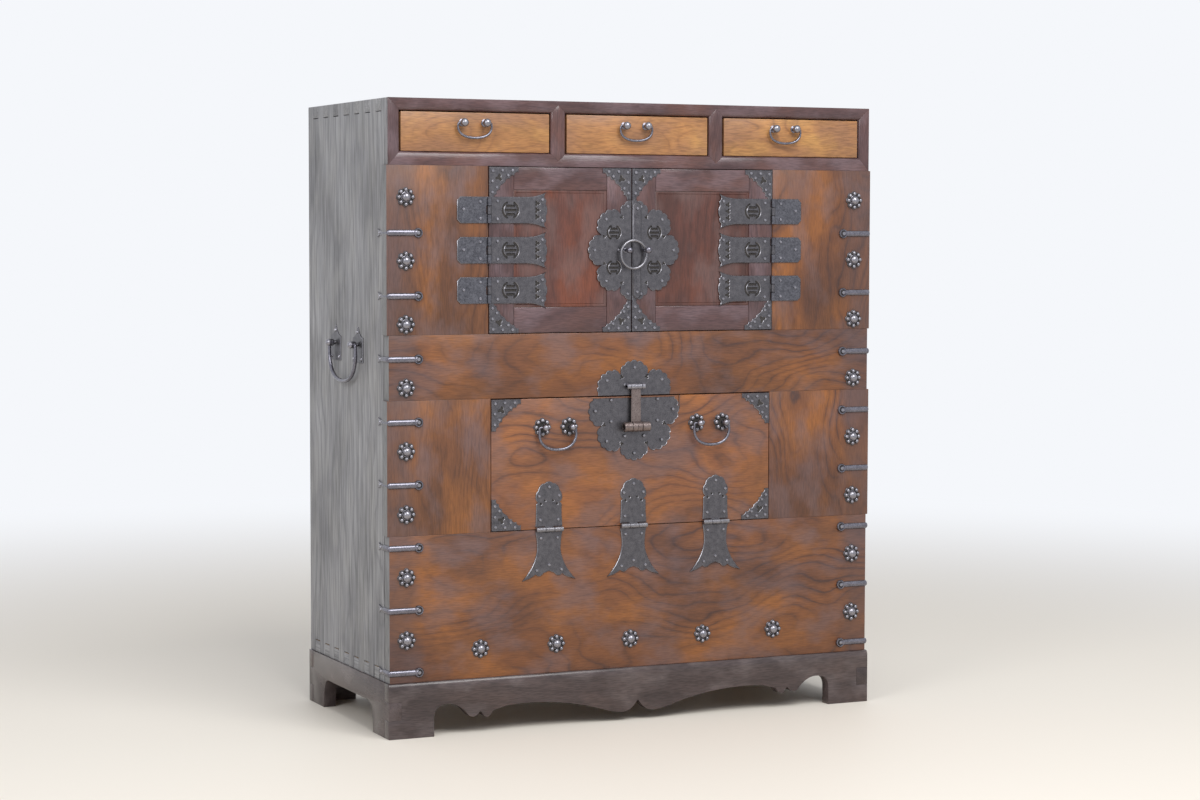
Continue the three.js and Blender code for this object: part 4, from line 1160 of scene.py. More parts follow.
@dataclass(frozen=True)
class FrontBoards:
    """The boards of the front with their rosette nails and corner straps."""

    layout: Layout
    rosette_inset: float = 29.0
    rosette_first: float = 69.0
    rosette_last: float = 51.0
    row_rise: float = 48.0
    row_pitch: float = 135.0
    row_shift: float = -13.0
    strap_first: float = 16.0
    strap_last: float = 108.0
    count: int = 8
    strap_reach: float = 50.0
    strap_half: float = 5.0
    strap_thickness: float = 3.6
    tail_reach: float = 46.0

    def heights(self, first: float, last: float) -> list[float]:
        """Spreads the rosettes or straps over the height of the front boards."""
        low = self.layout.base_top + first
        high = self.layout.door_top - last
        return [low + i * (high - low) / (self.count - 1) for i in range(self.count)]

    def front_board(self, name: str, x0: float, x1: float, z0: float, z1: float,
                    wood: Wood, grain: Grain, shift: float) -> None:
        """Makes one board, its ends at the sides of the chest grey.

        Args:
            name: the node that it replaces.
            x0: its left end.
            x1: its right end.
            z0: its lower edge.
            z1: its upper edge.
            wood: its wood.
            grain: which way its grain runs.
            shift: moves the figure, in metres.
        """
        lay = self.layout
        shape = board((x0, lay.front, z0), (x1, lay.board_back, z1))
        for item in shape.faces:
            if abs(item.normal.x) > 0.9 and abs(item.calc_center_median().x) > lay.half_width - 1:
                item.material_index = 1
        piece(f"{name}_plank", shape, "case",
              [wood.on(grain, shift), END_WOOD.on(Grain.UP_SIDE)], [name])

    def strap(self) -> BMesh:
        """Makes a strap on the left edge: a half-round bar, an eye and a forked tail.

        Returns:
            The strap at height zero.
        """
        lay = self.layout
        edge, reach, turn = -lay.half_width, self.strap_reach, 1.0
        path = [Vector((edge + reach, lay.front, 0)), Vector((edge + reach * 0.5, lay.front, 0)),
                Vector((edge + turn, lay.front, 0))]
        for step in range(1, 4):
            angle = math.pi / 2 * step / 4
            path.append(Vector((edge + turn * (1 - math.sin(angle)),
                                lay.front + turn * (1 - math.cos(angle)), 0)))
        path += [Vector((edge, lay.front + turn, 0)), Vector((edge, lay.front + 0.5 * self.tail_reach, 0))]
        arcs = [math.pi * i / 8 for i in range(9)]
        section = [(self.strap_half * math.cos(a), -self.strap_thickness * math.sin(a)) for a in arcs]
        shape = swept(section, frames_along(path, Vector((0, 0, 1)), [1.0] * len(path)))
        end, floor = at(edge + reach, lay.front), 2.2
        eye = [(0, -SUNK), (8.0, -SUNK), (8.0, floor), (7.0, 3.6), (5.8, 3.6), (4.8, floor), (0, floor)]
        # The ring sunk into the eye is dark: grime and painted shade in the recess.
        sunk = [(0, 2.0), (5.0, 2.0), (5.0, 2.35), (0, 2.4)]
        stamp(shape, turned(eye, 20), end)
        stamp(shape, painted(turned(sunk, 16), Layer.GRIME), end)
        stamp(shape, nail(3.7, 3.0), end @ at(y=-floor))

        tail, half, neck, thickness = lay.front + self.tail_reach, 7.0, 3.6, 2.4
        root = (tail - 2 * half, -neck)
        fork = [(lay.front + 0.4 * self.tail_reach, -neck), root,
                *arc(root, (tail - half, -4), (tail, -half), 4),
                *arc((tail, -half), (tail - 0.8 * half, -2), (tail - half, 0), 4)]
        fork += [(y, -z) for y, z in reversed(fork[:-1])]
        # The tail takes the brighter rim iron: wear and a painted highlight.
        stamp(shape, painted(slab(fork, Plane.SIDE, edge - thickness, edge, 0.8), Layer.RIM))
        stamp(shape, nail(), at(edge - thickness, tail - 1.6 * half) @ QUARTER.inverted())
        return shape

    def build(self) -> None:
        """Makes the six boards, the rosettes and the straps."""
        lay = self.layout
        wide = lay.half_width
        self.front_board("bottom_front_board", -wide, wide, lay.base_top, lay.bottom_top,
                         FRONT_WOOD, Grain.ACROSS_FRONT, 0.13)
        self.front_board("middle_rail", -wide, wide, lay.fall_top, lay.middle_top,
                         FRONT_WOOD, Grain.ACROSS_FRONT, 0.57)
        for level, low, high in (("lower", lay.bottom_top, lay.fall_top),
                                 ("upper", lay.middle_top, lay.door_top)):
            for side in Side:
                name = f"{level}_{side.word}_front_board"
                box = Box.of(name)
                wood = STRAIGHT_WOOD if side is Side.LEFT else FRONT_WOOD
                self.front_board(name, box.lo.x, box.hi.x, low, high, wood, Grain.UP_FRONT,
                                 side.value * 0.31 + low * MM)
        row = [at(self.row_shift + i * self.row_pitch, lay.front, lay.base_top + self.row_rise)
               for i in range(-2, 3)]
        iron_piece("bottom_row_rosettes", joined((rosette(), row)), "case")
        for side in Side:
            x = side.value * (wide - self.rosette_inset)
            column = [at(x, lay.front, z) for z in self.heights(self.rosette_first, self.rosette_last)]
            iron_piece(f"{side.word}_rosettes", joined((rosette(), column)), "case")
            places = [at(z=z) @ side.flip for z in self.heights(self.strap_first, self.strap_last)]
            iron_piece(f"{side.word}_straps", joined((self.strap(), places)), "case", layers=BAR_LAYERS)


@dataclass(frozen=True)
class Base:
    """The cusped base: four aprons joined by fingers at the corners."""

    layout: Layout
    foot: float = 78.0
    knee: float = 25.0
    finger_count: int = 3
    top_round: float = 5.0
    top_stretch: float = 2.2
    curve_shares: Sequence[tuple[float, float, float, float]] = (
        (0.824, 0.356, 0.825, 0.18), (0.7765, 0.573, 0.822, 0.567), (0.6885, 0.34, 0.727, 0.589),
        (0.648, 0.367, 0.668, 0.261), (0.6275, 0.311, 0.641, 0.444), (0.5914, 0.398, 0.6095, 0.228),
        (0.5327, 0.467, 0.564, 0.433), (0.352, 0.459, 0.4515, 0.5055), (0.151, 0.259, 0.244, 0.4055),
        (0.0564, 0.1755, 0.1016, 0.172), (0.0, 0.389, 0.027, 0.189))

    def end(self, outer: float, inner: float, height: float, odd: bool) -> list[Point]:
        """Gives the fingers at one end of an apron.

        Args:
            outer: where the fingers end.
            inner: where the gaps between them end.
            height: height of the apron.
            odd: whether the gaps are at the odd fingers.

        Returns:
            The corners from the floor up.
        """
        step = height / self.finger_count
        points = []
        for i in range(self.finger_count):
            level = inner if (i % 2 == 1) == odd else outer
            points += [(level, i * step), (level, (i + 1) * step)]
        return points

    def cusped(self, half: float, height: float) -> list[Point]:
        """Gives the lower edge of the front apron.

        Args:
            half: half of its length.
            height: its height.

        Returns:
            The points from its left foot to its right one.
        """
        right = [(half - self.foot, 0.0)]
        for x, z, pull_x, pull_z in self.curve_shares:
            right += arc(right[-1], (pull_x * half, pull_z * height), (x * half, z * height), 8)
        left = [(-x, z) for x, z in right]
        return [*left, *reversed(right[:-1])]

    def arched(self, start: float, end: float, rise: float) -> list[Point]:
        """Gives the lower edge of an apron with a plain arch.

        Args:
            start: where the apron starts.
            end: where it ends.
            rise: height of the arch.

        Returns:
            The points from foot to foot.
        """
        a, b = start + self.foot, end - self.foot
        return [(a, 0.0), *arc((a, 0.0), (a, rise), (a + self.knee, rise), 8), (b - self.knee, rise),
                *arc((b - self.knee, rise), (b, rise), (b, 0.0), 8)]

    def apron(self, name: str, low: Sequence[Point], half: float, middle: float, thickness: float,
              odd: bool, plane: Plane, start: float, end: float) -> None:
        """Makes one apron of its lower edge and its fingers.

        Args:
            name: its side of the chest.
            low: its lower edge.
            half: half of its length.
            middle: the middle of its length.
            thickness: length of its fingers.
            odd: whether the gaps are at the odd fingers.
            plane: the plane in which it is drawn.
            start: where its thickness starts.
            end: where it ends.
        """
        height = self.layout.base_top
        right = self.end(middle + half, middle + half - thickness, height, odd)
        left = self.end(middle - half, middle - half + thickness, height, odd)
        shape = slab([*low, *right, *reversed(left)], plane, start, end, 0)
        if name == "front":
            top = [edge for edge in sharp_edges(shape)
                   if all(v.co.y < start + 1 and v.co.z > height - 1 for v in edge.verts)]
            soften(shape, top, self.top_round, 5)
            reach = self.top_round + WELD
            for vert in shape.verts:
                if vert.co.y < start + reach and vert.co.z > height - reach:
                    vert.co.z = height + (vert.co.z - height) * self.top_stretch
        soften(shape, sharp_edges(shape), SOFT)
        grain = Grain.ACROSS_FRONT if plane is Plane.FRONT else Grain.ALONG_SIDE
        node = f"base_{name}_apron"
        piece(f"{node}_plank", shape, "case", [BASE_WOOD.on(grain, start * MM)], [node])

    def build(self) -> None:
        """Makes the four aprons."""
        height = self.layout.base_top
        front, back = Box.of("base_front_apron"), Box.of("base_back_apron")
        half, thickness = front.hi.x, front.hi.y - front.lo.y
        self.apron("front", self.cusped(half, height), half, 0, thickness, True, Plane.FRONT,
                   front.lo.y, front.hi.y)
        self.apron("back", self.arched(-half, half, 0.47 * height), half, 0, thickness, True,
                   Plane.FRONT, back.lo.y, back.hi.y)
        for side in Side:
            box = Box.of(f"base_{side.word}_apron")
            low = self.arched(box.lo.y, box.hi.y, 0.555 * height)
            self.apron(side.word, low, (box.hi.y - box.lo.y) / 2, box.mid.y, thickness, False,
                       Plane.SIDE, box.lo.x, box.hi.x)


@dataclass(frozen=True)
class DrawerFrame:
    """The mitred frame around the drawers, its muntins and the dividers behind them."""

    layout: Layout
    chamfer: float = 5.5
    divider_half: float = 9.0

    def member(self, node: str, outline: Outline, grain: Grain, worn: Sequence[int]) -> None:
        """Makes one member with a round along the edges that face a drawer.

        Args:
            node: the node that it replaces.
            outline: its corners across and up.
            grain: which way its grain runs.
            worn: numbers of the outline's stretches that get the round.
        """
        lay = self.layout
        shape = slab(outline, Plane.FRONT, lay.front, lay.facing_back, 0)
        stretches = [(Vector(outline[i]), Vector(outline[(i + 1) % len(outline)])) for i in worn]

        def faces_drawer(edge: BMEdge) -> bool:
            """Tells whether an edge of the front face runs along a worn stretch."""
            if any(v.co.y > lay.front + WELD for v in edge.verts):
                return False
            ends = [Vector((v.co.x, v.co.z)) for v in edge.verts]
            return any(all(min((p - a).length, (p - b).length) < WELD for p in ends) for a, b in stretches)

        soften(shape, [edge for edge in shape.edges if faces_drawer(edge)], self.chamfer, 4)
        soften(shape, sharp_edges(shape), SOFT / 2)
        if node.startswith("drawer_divider"):
            box = Box.of(node)
            stamp(shape, board((box.mid.x - self.divider_half, lay.facing_back, lay.drawer_bottom),
                               (box.mid.x + self.divider_half, box.hi.y, lay.drawer_top)))
        piece(f"{node}_bar", shape, "case", [FRAME_WOOD.on(grain, outline[0][0] * MM)],
              [node])

    def build(self) -> None:
        """Makes two rails, two stiles and two muntins."""
        lay = self.layout
        wide, inner = lay.half_width, lay.inner_half
        muntin = Box.of("drawer_divider_right")
        x, half = muntin.mid.x, (muntin.hi.x - muntin.lo.x) / 2

        def notched(level: float, towards: float) -> list[Point]:
            """Gives a rail's inner edge with its two pointed notches."""
            tip = level + towards * half
            return [(-inner, level), (-x - half, level), (-x, tip), (-x + half, level),
                    (x - half, level), (x, tip), (x + half, level), (inner, level)]

        open_stretches = (0, 3, 6)
        top = [*notched(lay.drawer_top, 1), (wide, lay.case_top), (-wide, lay.case_top)]
        self.member("drawer_frame_top_rail", top, Grain.ACROSS_FRONT, open_stretches)
        low = [*notched(lay.drawer_bottom, -1), (wide, lay.door_top), (-wide, lay.door_top)]
        self.member("drawer_frame_bottom_rail", low, Grain.ACROSS_FRONT, open_stretches)
        for side in Side:
            sign = side.value
            stile = [(sign * inner, lay.drawer_bottom), (sign * inner, lay.drawer_top),
                     (sign * wide, lay.case_top), (sign * wide, lay.door_top)]
            self.member(f"drawer_frame_{side.word}_stile", stile, Grain.UP_FRONT, (0,))
            mx = sign * x
            bar = [(mx - half, lay.drawer_bottom), (mx, lay.drawer_bottom - half),
                   (mx + half, lay.drawer_bottom), (mx + half, lay.drawer_top),
                   (mx, lay.drawer_top + half), (mx - half, lay.drawer_top)]
            self.member(f"drawer_divider_{side.word}", bar, Grain.UP_FRONT, (2, 5))


@dataclass(frozen=True)
class Drawers:
    """Three drawers with burl fronts, and their bails."""

    layout: Layout
    bail: Bail = Bail(spacing=39, drop=24.5, wire=2.2, bulge=1, neck=4.2, standoff=7, head=6.8,
                      head_offset=4.8)
    front_thickness: float = 16.0
    wall: float = 9.0
    floor: float = 6.0
    box_height: float = 50.0
    side_gap: float = 1.0
    head_gap: float = 0.5
    setback: float = 2.0

    def build(self) -> None:
        """Makes each drawer's front, box, posts and bail."""
        wall = self.wall
        face = self.layout.front + self.setback
        behind = face + self.front_thickness
        for name in ROW:
            node, body = f"drawer_{name}", f"{name}_drawer"
            box = Box.of(node)
            left, right = box.lo.x + self.side_gap, box.hi.x - self.side_gap
            front = board((left, face, box.lo.z), (right, behind, box.hi.z - self.head_gap), 1.4)
            piece(f"{node}_front", front, body,
                  [DRAWER_WOOD.on(Grain.ACROSS_FRONT, box.mid.x * MM + 2.6)], [node])
            low, floor, top, end = box.lo.z, box.lo.z + self.floor, box.lo.z + self.box_height, box.hi.y
            shape = bmesh.new()
            for lo, hi in (((left, behind, low), (right, end, floor)),
                           ((left, behind, floor), (left + wall, end, top)),
                           ((right - wall, behind, floor), (right, end, top)),
                           ((left + wall, end - wall, floor), (right - wall, end, top))):
                stamp(shape, board(lo, hi, SOFT / 2))
            piece(f"{node}_box", shape, body, [INNER_WOOD.on(Grain.ALONG_SIDE)])
            bail = Box.of(f"{node}_bail")
            place = at(bail.mid.x, face, bail.hi.z - self.bail.wire)
            iron_piece(f"{node}_posts", joined((self.bail.post(), self.bail.post_places(place))), body,
                       layers=BAR_LAYERS)
            iron_piece(f"{node}_bail_wire", self.bail.hung(place), f"{body}_bail", [f"{node}_bail"],
                       BAR_LAYERS)


@dataclass(frozen=True)
class SideBails:
    """The carrying bails on the two sides, on pointed plates."""

    layout: Layout
    bail: Bail = Bail(spacing=111, drop=62, wire=3.4, bulge=3, neck=4.8, standoff=9, head=6,
                      head_offset=4.5)
    plate_half: float = 24.5
    plate_height: float = 29.5
    plate_point: float = 18.0
    plate_thickness: float = 2.0
    nail_inset: float = 6.0
    axis_drop: float = 2.8

    def build(self) -> None:
        """Makes plates, posts and bail on each side."""
        w, h, inset = self.plate_half, self.plate_height, self.nail_inset
        shoulder = h - self.plate_point
        outline = [(-w, -h), (w, -h), (w, shoulder), *arc((w, shoulder), (w * 0.4, shoulder), (0, h), 5),
                   *arc((0, h), (-w * 0.4, shoulder), (-w, shoulder), 5)]
        for side in Side:
            node = f"{side.word}_side_bail"
            box = Box.of(node)
            place = (at(side.value * self.layout.half_width, box.mid.y, box.hi.z - self.axis_drop)
                     @ Matrix.Rotation(side.value * math.pi / 2, 4, "Z"))
            base = plate(outline, [], self.plate_thickness)
            nails(base, [(inset - w, inset - h), (w - inset, inset - h), (0, h - 1.5 * inset)],
                  self.plate_thickness)
            posts = self.bail.post_places(place)
            iron_piece(f"{node}_posts", joined((base, posts), (self.bail.post(), posts)), "case")
            iron_piece(f"{node}_wire", self.bail.hung(place), f"{side.word}_bail", [node], BAR_LAYERS)


@dataclass(frozen=True)
class Doors:
    """Two framed doors with sunk panels and corner brackets."""

    layout: Layout
    thickness: float = 20.0
    stile: float = 44.0
    top_rail: float = 37.0
    bottom_rail: float = 42.0
    recess: float = 1.5
    back_recess: float = 5.0
    joint: float = 0.15
    bead: float = 5.0

    def build(self) -> None:
        """Makes stiles, rails, panel and brackets of each door."""
        lay = self.layout
        front, back = lay.front, lay.front + self.thickness
        for side in Side:
            box = Box.of(f"{side.word}_door")
            x0, x1, z0, z1 = box.lo.x, box.hi.x, box.lo.z, box.hi.z
            body = f"{side.word}_door_flap"
            a, b = x0 + self.stile, x1 - self.stile
            c, d = z0 + self.bottom_rail, z1 - self.top_rail
            members = {
                "left_stile": ((x0, z0), (a, z1), Grain.UP_FRONT),
                "right_stile": ((b, z0), (x1, z1), Grain.UP_FRONT),
                "top_rail": ((a, d), (b, z1), Grain.ACROSS_FRONT),
                "bottom_rail": ((a, z0), (b, c), Grain.ACROSS_FRONT),
            }
            for word, (low, high, grain) in members.items():
                shape = board((low[0] + self.joint, front, low[1] + self.joint),
                              (high[0] - self.joint, back, high[1] - self.joint), 1.0)
                piece(f"{side.word}_door_{word}", shape, body,
                      [FRAME_WOOD.on(grain, (low[0] + low[1]) * MM)])
            panel = board((a, front + self.recess, c), (b, back - self.back_recess, d), 0.3)
            face = max(panel.faces, key=lambda item: -item.calc_center_median().y)
            for width, depth in ((self.bead, 0.0), (1.2, -0.7), (1.2, 0.7)):
                bmesh.ops.inset_region(panel, faces=[face], thickness=width, depth=depth)
            piece(f"{side.word}_door_panel", panel, body,
                  [PANEL_WOOD.on(Grain.UP_FRONT, side.value * 0.2)], [f"{side.word}_door"])
            brackets = joined((bracket(), bracket_places(x0, x1, z0, z1, front)))
            iron_piece(f"{side.word}_door_brackets", brackets, body)


@dataclass(frozen=True)
class DoorHinges:
    """Strap hinges of the doors: a short leaf on the case and a long flared one on the door."""

    layout: Layout
    door_gap: float = 0.5
    axis_out: float = 3.9
    barrel: float = 3.6
    pin: float = 1.7
    gap: float = 0.4
    thickness: float = 2.0
    case_length: float = 55.0
    clip: float = 6.0
    door_length: float = 103.0
    flare_start: float = 68.0
    tip_half: float = 30.0

    def knuckles(self, shape: BMesh, spans: Sequence[Point], bore: float) -> None:
        """Adds upright knuckles around the axis.

        Args:
            shape: the leaf.
            spans: lower and upper end of each knuckle.
            bore: radius of their bore.
        """
        for low, high in spans:
            stamp(shape, rod(self.barrel, low, high, 16, bore), at(y=-self.axis_out) @ UPRIGHT)

    def case_leaf(self, half: float) -> BMesh:
        """Makes the leaf on the case.

        Args:
            half: half of its height.

        Returns:
            The leaf, to the left of the axis.
        """
        length, clip = self.case_length, self.clip
        third = half / 3
        near = -self.barrel - self.gap
        outline = [(near, -half), (near, half), (clip - length, half), (-length, half - clip),
                   (-length, clip - half), (clip - length, -half)]
        shape = plate(outline, [], self.thickness)
        for low, high in ((-half, -third), (third, half)):
            stamp(shape, board((near - 0.5, -self.thickness, low), (0, -0.3, high), 0.2))
        self.knuckles(shape, [(-half, -third), (third, half)], self.pin)
        stamp(shape, rod(self.pin, -half, half, 12), at(y=-self.axis_out) @ UPRIGHT)
        nails(shape, [(-length + 11, 1), (-15, half - 8), (-15, 8 - half)], self.thickness)
        return shape

    def door_leaf(self, half: float) -> BMesh:
        """Makes the long flared leaf on the door.

        Args:
            half: half of its height at the axis.

        Returns:
            The leaf, to the right of the axis.
        """
        length, start, tip = self.door_length, self.flare_start, self.tip_half
        near = self.barrel + self.gap
        third = half / 3 - self.gap
        flare = arc((start, half), (start + 18, half), (length - 1, tip), 7)
        tail = [*arc((length - 1, tip), (length - 6, tip * 0.86), (length - 5, tip * 0.68), 4),
                *arc((length - 5, tip * 0.68), (length + 0.5, tip * 0.55), (length - 3, tip * 0.34), 5),
                *arc((length - 3, tip * 0.34), (length, tip * 0.2), (length, 0), 4)]
        upper = [(near, half), (start, half), *flare, *tail]
        lower = [(x, -z) for x, z in reversed(upper[:-1])]
        clovers = [clover((85.0, rise), 4.8, 0.0) for rise in (-11.0, 0.0, 11.0)]
        shape = plate([*upper, *lower], [*fret((38.0, 0.0), 15.0, 3.4), *clovers], self.thickness)
        stamp(shape, board((0, -self.thickness, -third), (near + 0.5, -0.3, third), 0.2))
        self.knuckles(shape, [(-third, third)], self.pin + self.gap)
        nails(shape, [(15, half - 7), (15, 7 - half), (length - 9, 17), (length - 9, -17)], self.thickness)
        return shape

    def build(self) -> None:
        """Makes the twelve leaves."""
        for side in Side:
            door = Box.of(f"{side.word}_door")
            axis = door.lo.x - self.door_gap if side is Side.LEFT else door.hi.x + self.door_gap
            for row in ("top", "middle", "bottom"):
                case_node = f"{side.word}_hinge_{row}_case_leaf"
                box = Box.of(case_node)
                place = at(axis, self.layout.front, box.mid.z) @ side.flip
                half = (box.hi.z - box.lo.z) / 2
                for node, shape, body, layers in (
                        (case_node, self.case_leaf(half), "case", LEAF_LAYERS),
                        (f"{side.word}_hinge_{row}_door_leaf", self.door_leaf(half),
                         f"{side.word}_door_flap", IRON_LAYERS)):
                    iron_piece(f"{node}_plate", joined((shape, [place])), body, [node], layers)


@dataclass(frozen=True)
class DoorLock:
    """The round lock plate of the doors in two halves, its meeting strip, knob, eye post and ring."""

    layout: Layout
    gap: float = 1.6
    thickness: float = 2.0
    radius: float = 84.0
    fret_place: float = 37.0
    fret_rise: float = 29.0
    strip_width: float = 16.0
    strip_thickness: float = 2.5
    strip_bevel: float = 2.0
    strip_half: float = 82.0
    strip_point: float = 7.0
    ring_radius: float = 23.2
    ring_wire: float = 2.2
    standoff: float = 10.0
    eye_place: float = 22.0
    knob_place: float = 12.5
    head_offset: float = 10.0

    def half_plate(self, side: Side, seam: float) -> BMesh:
        """Makes one half of the plate, cut at the seam between the doors.

        Args:
            side: which half.
            seam: how far the seam lies to the right of the plate's middle.

        Returns:
            The half, around the middle of the whole plate.
        """
        sign = side.value
        edge = seam + sign * self.gap / 2
        whole = lock_outline(self.radius)
        outline = [point for point in whole if (point[0] - edge) * sign > 2.0]
        outline.sort(key=lambda point: math.atan2(point[1], point[0] * sign))
        reach = self.radius * 0.985
        outline = [(edge, -reach), *outline, (edge, reach)]
        holes = []
        for rise in (-self.fret_rise, self.fret_rise):
            holes += fret((sign * self.fret_place, rise), 13.0, 3.1)
        for angle in (-1.18, -0.39, 0.39, 1.18):
            across, up = polar(0.7 * self.radius, angle)
            holes.append(clover((sign * across, up), 3.0, angle))
        shape = plate(outline, holes, self.thickness)
        heads = [(sign * 0.34 * self.radius, 0.0)]
        for i in range(-2, 3):
            across, up = polar(0.86 * self.radius, i * math.pi / 4)
            inward = 12.0 if abs(i) == 2 else 0.0
            heads.append((sign * (across + inward), up))
        nails(shape, heads, self.thickness)
        return shape

    def strip(self, seam: float) -> BMesh:
        """Makes the pointed strip that covers the meeting of the doors.

        Args:
            seam: how far the seam lies to the right of the plate's middle.

        Returns:
            The strip, to the right of the seam.
        """
        x0 = seam + self.gap / 2
        x1 = x0 + self.strip_width
        mid, top = (x0 + x1) / 2, self.strip_half
        side, head = top - self.strip_point, top - 13
        outline = [(x0, -side), (mid, -top), (x1, -side), (x1, side), (mid, top), (x0, side)]
        shape = painted(plate(outline, [], self.strip_thickness, self.strip_bevel), Layer.FACE)
        nails(shape, [(mid, head), (mid, -head)], self.strip_thickness)
        return shape

    def eye_post(self, slope: float) -> BMesh:
        """Makes the post that holds the ring: stem, eye, neck and ball.

        Args:
            slope: the direction in which the ring's middle lies from the eye.

        Returns:
            The post, standing on the plane of the front.
        """
        out = self.standoff
        shape = turned([(0, -SUNK), (5.2, -SUNK), (5.2, 1.2), (3.0, 2.0), (2.6, out - 3.0),
                        (0, out - 2.4)], 14)
        tilt = Matrix.Rotation(-slope, 4, "Y") @ Matrix.Rotation(math.pi / 2, 4, "X")
        stamp(shape, ring(3.6, 1.2, 20, 8), at(y=-out) @ tilt)
        stamp(shape, turned([(0, out + 3.2), (3.0, out + 3.2), (3.0, out + 6), (0, out + 9)], 14))
        stamp(shape, ball(6.0, 16), at(y=-out - self.head_offset))
        return shape

    def build(self) -> None:
        """Makes both halves, the ring and what carries it."""
        lay = self.layout
        left, right = Box.of("left_lock_plate"), Box.of("right_lock_plate")
        centre_x, seam_x = (left.lo.x + right.hi.x) / 2, (left.hi.x + right.lo.x) / 2
        seam = seam_x - centre_x
        middle = at(centre_x, lay.front, lay.door_middle)
        halves = {side: joined((self.half_plate(side, seam), [middle])) for side in Side}
        stamp(halves[Side.RIGHT], self.strip(seam), middle @ at(y=-self.thickness))
        for side, shape in halves.items():
            iron_piece(f"{side.word}_lock_plate_iron", shape, f"{side.word}_door_flap",
                       [f"{side.word}_lock_plate"])

        knob = turned([(0, -SUNK), (4.2, -SUNK), (4.2, 1.2), (2.6, 2.0), (2.6, 14.5), (0, 15)], 14)
        stamp(knob, ball(5.4, 16), at(y=self.thickness - self.standoff - self.head_offset))
        place = at(seam_x - self.knob_place, lay.front - self.thickness, lay.door_middle)
        iron_piece("left_lock_knob", joined((knob, [place])), "left_door_flap", layers=BAR_LAYERS)

        centre = Box.of("lock_ring").mid
        across = seam_x + self.eye_place - centre.x
        rise = math.sqrt(self.ring_radius ** 2 - across ** 2)
        place = at(centre.x + across, lay.front, centre.z + rise)
        iron_piece("right_lock_eye", joined((self.eye_post(math.atan2(rise, across)), [place])),
                   "right_door_flap", layers=BAR_LAYERS)
        # The hoop takes the brighter rim iron: wear and a painted highlight.
        hoop = painted(ring(self.ring_radius, self.ring_wire), Layer.RIM)
        iron_piece("lock_ring_hoop", joined((hoop, [at(*centre)])), "ring", ["lock_ring"], BAR_LAYERS)


@dataclass(frozen=True)
class FallFront:
    """The board that drops down, its brackets, and bails on pearled rosettes."""

    layout: Layout
    bail: Bail = Bail(spacing=48, drop=37, wire=2.6, bulge=2, neck=4.4, standoff=10, head=5.4,
                      head_offset=6.5)
    thickness: float = 20.0

    def build(self) -> None:
        """Makes board, brackets, rosettes, posts and bails."""
        lay = self.layout
        box = Box.of("fall_board")
        x0, x1, z0, z1 = box.lo.x, box.hi.x, box.lo.z, box.hi.z
        leaf = board((x0, lay.front, z0), (x1, lay.front + self.thickness, z1), 1.0)
        piece("fall_board_plank", leaf, "fall_flap",
              [FALL_WOOD.on(Grain.ACROSS_FRONT, 1.31)], ["fall_board"])
        brackets = joined((bracket(), bracket_places(x0, x1, z0, z1, lay.front)))
        iron_piece("fall_board_brackets", brackets, "fall_flap")
        for side in Side:
            node = f"fall_{side.word}_bail"
            box = Box.of(node)
            place = at(box.mid.x, lay.front, box.hi.z - self.bail.wire)
            posts = self.bail.post_places(place)
            iron_piece(f"fall_{side.word}_rosettes",
                       joined((rosette(domed=False), posts), (self.bail.post(), posts)), "fall_flap")
            iron_piece(f"{node}_wire", self.bail.hung(place), f"{side.word}_fall_bail", [node],
                       BAR_LAYERS)


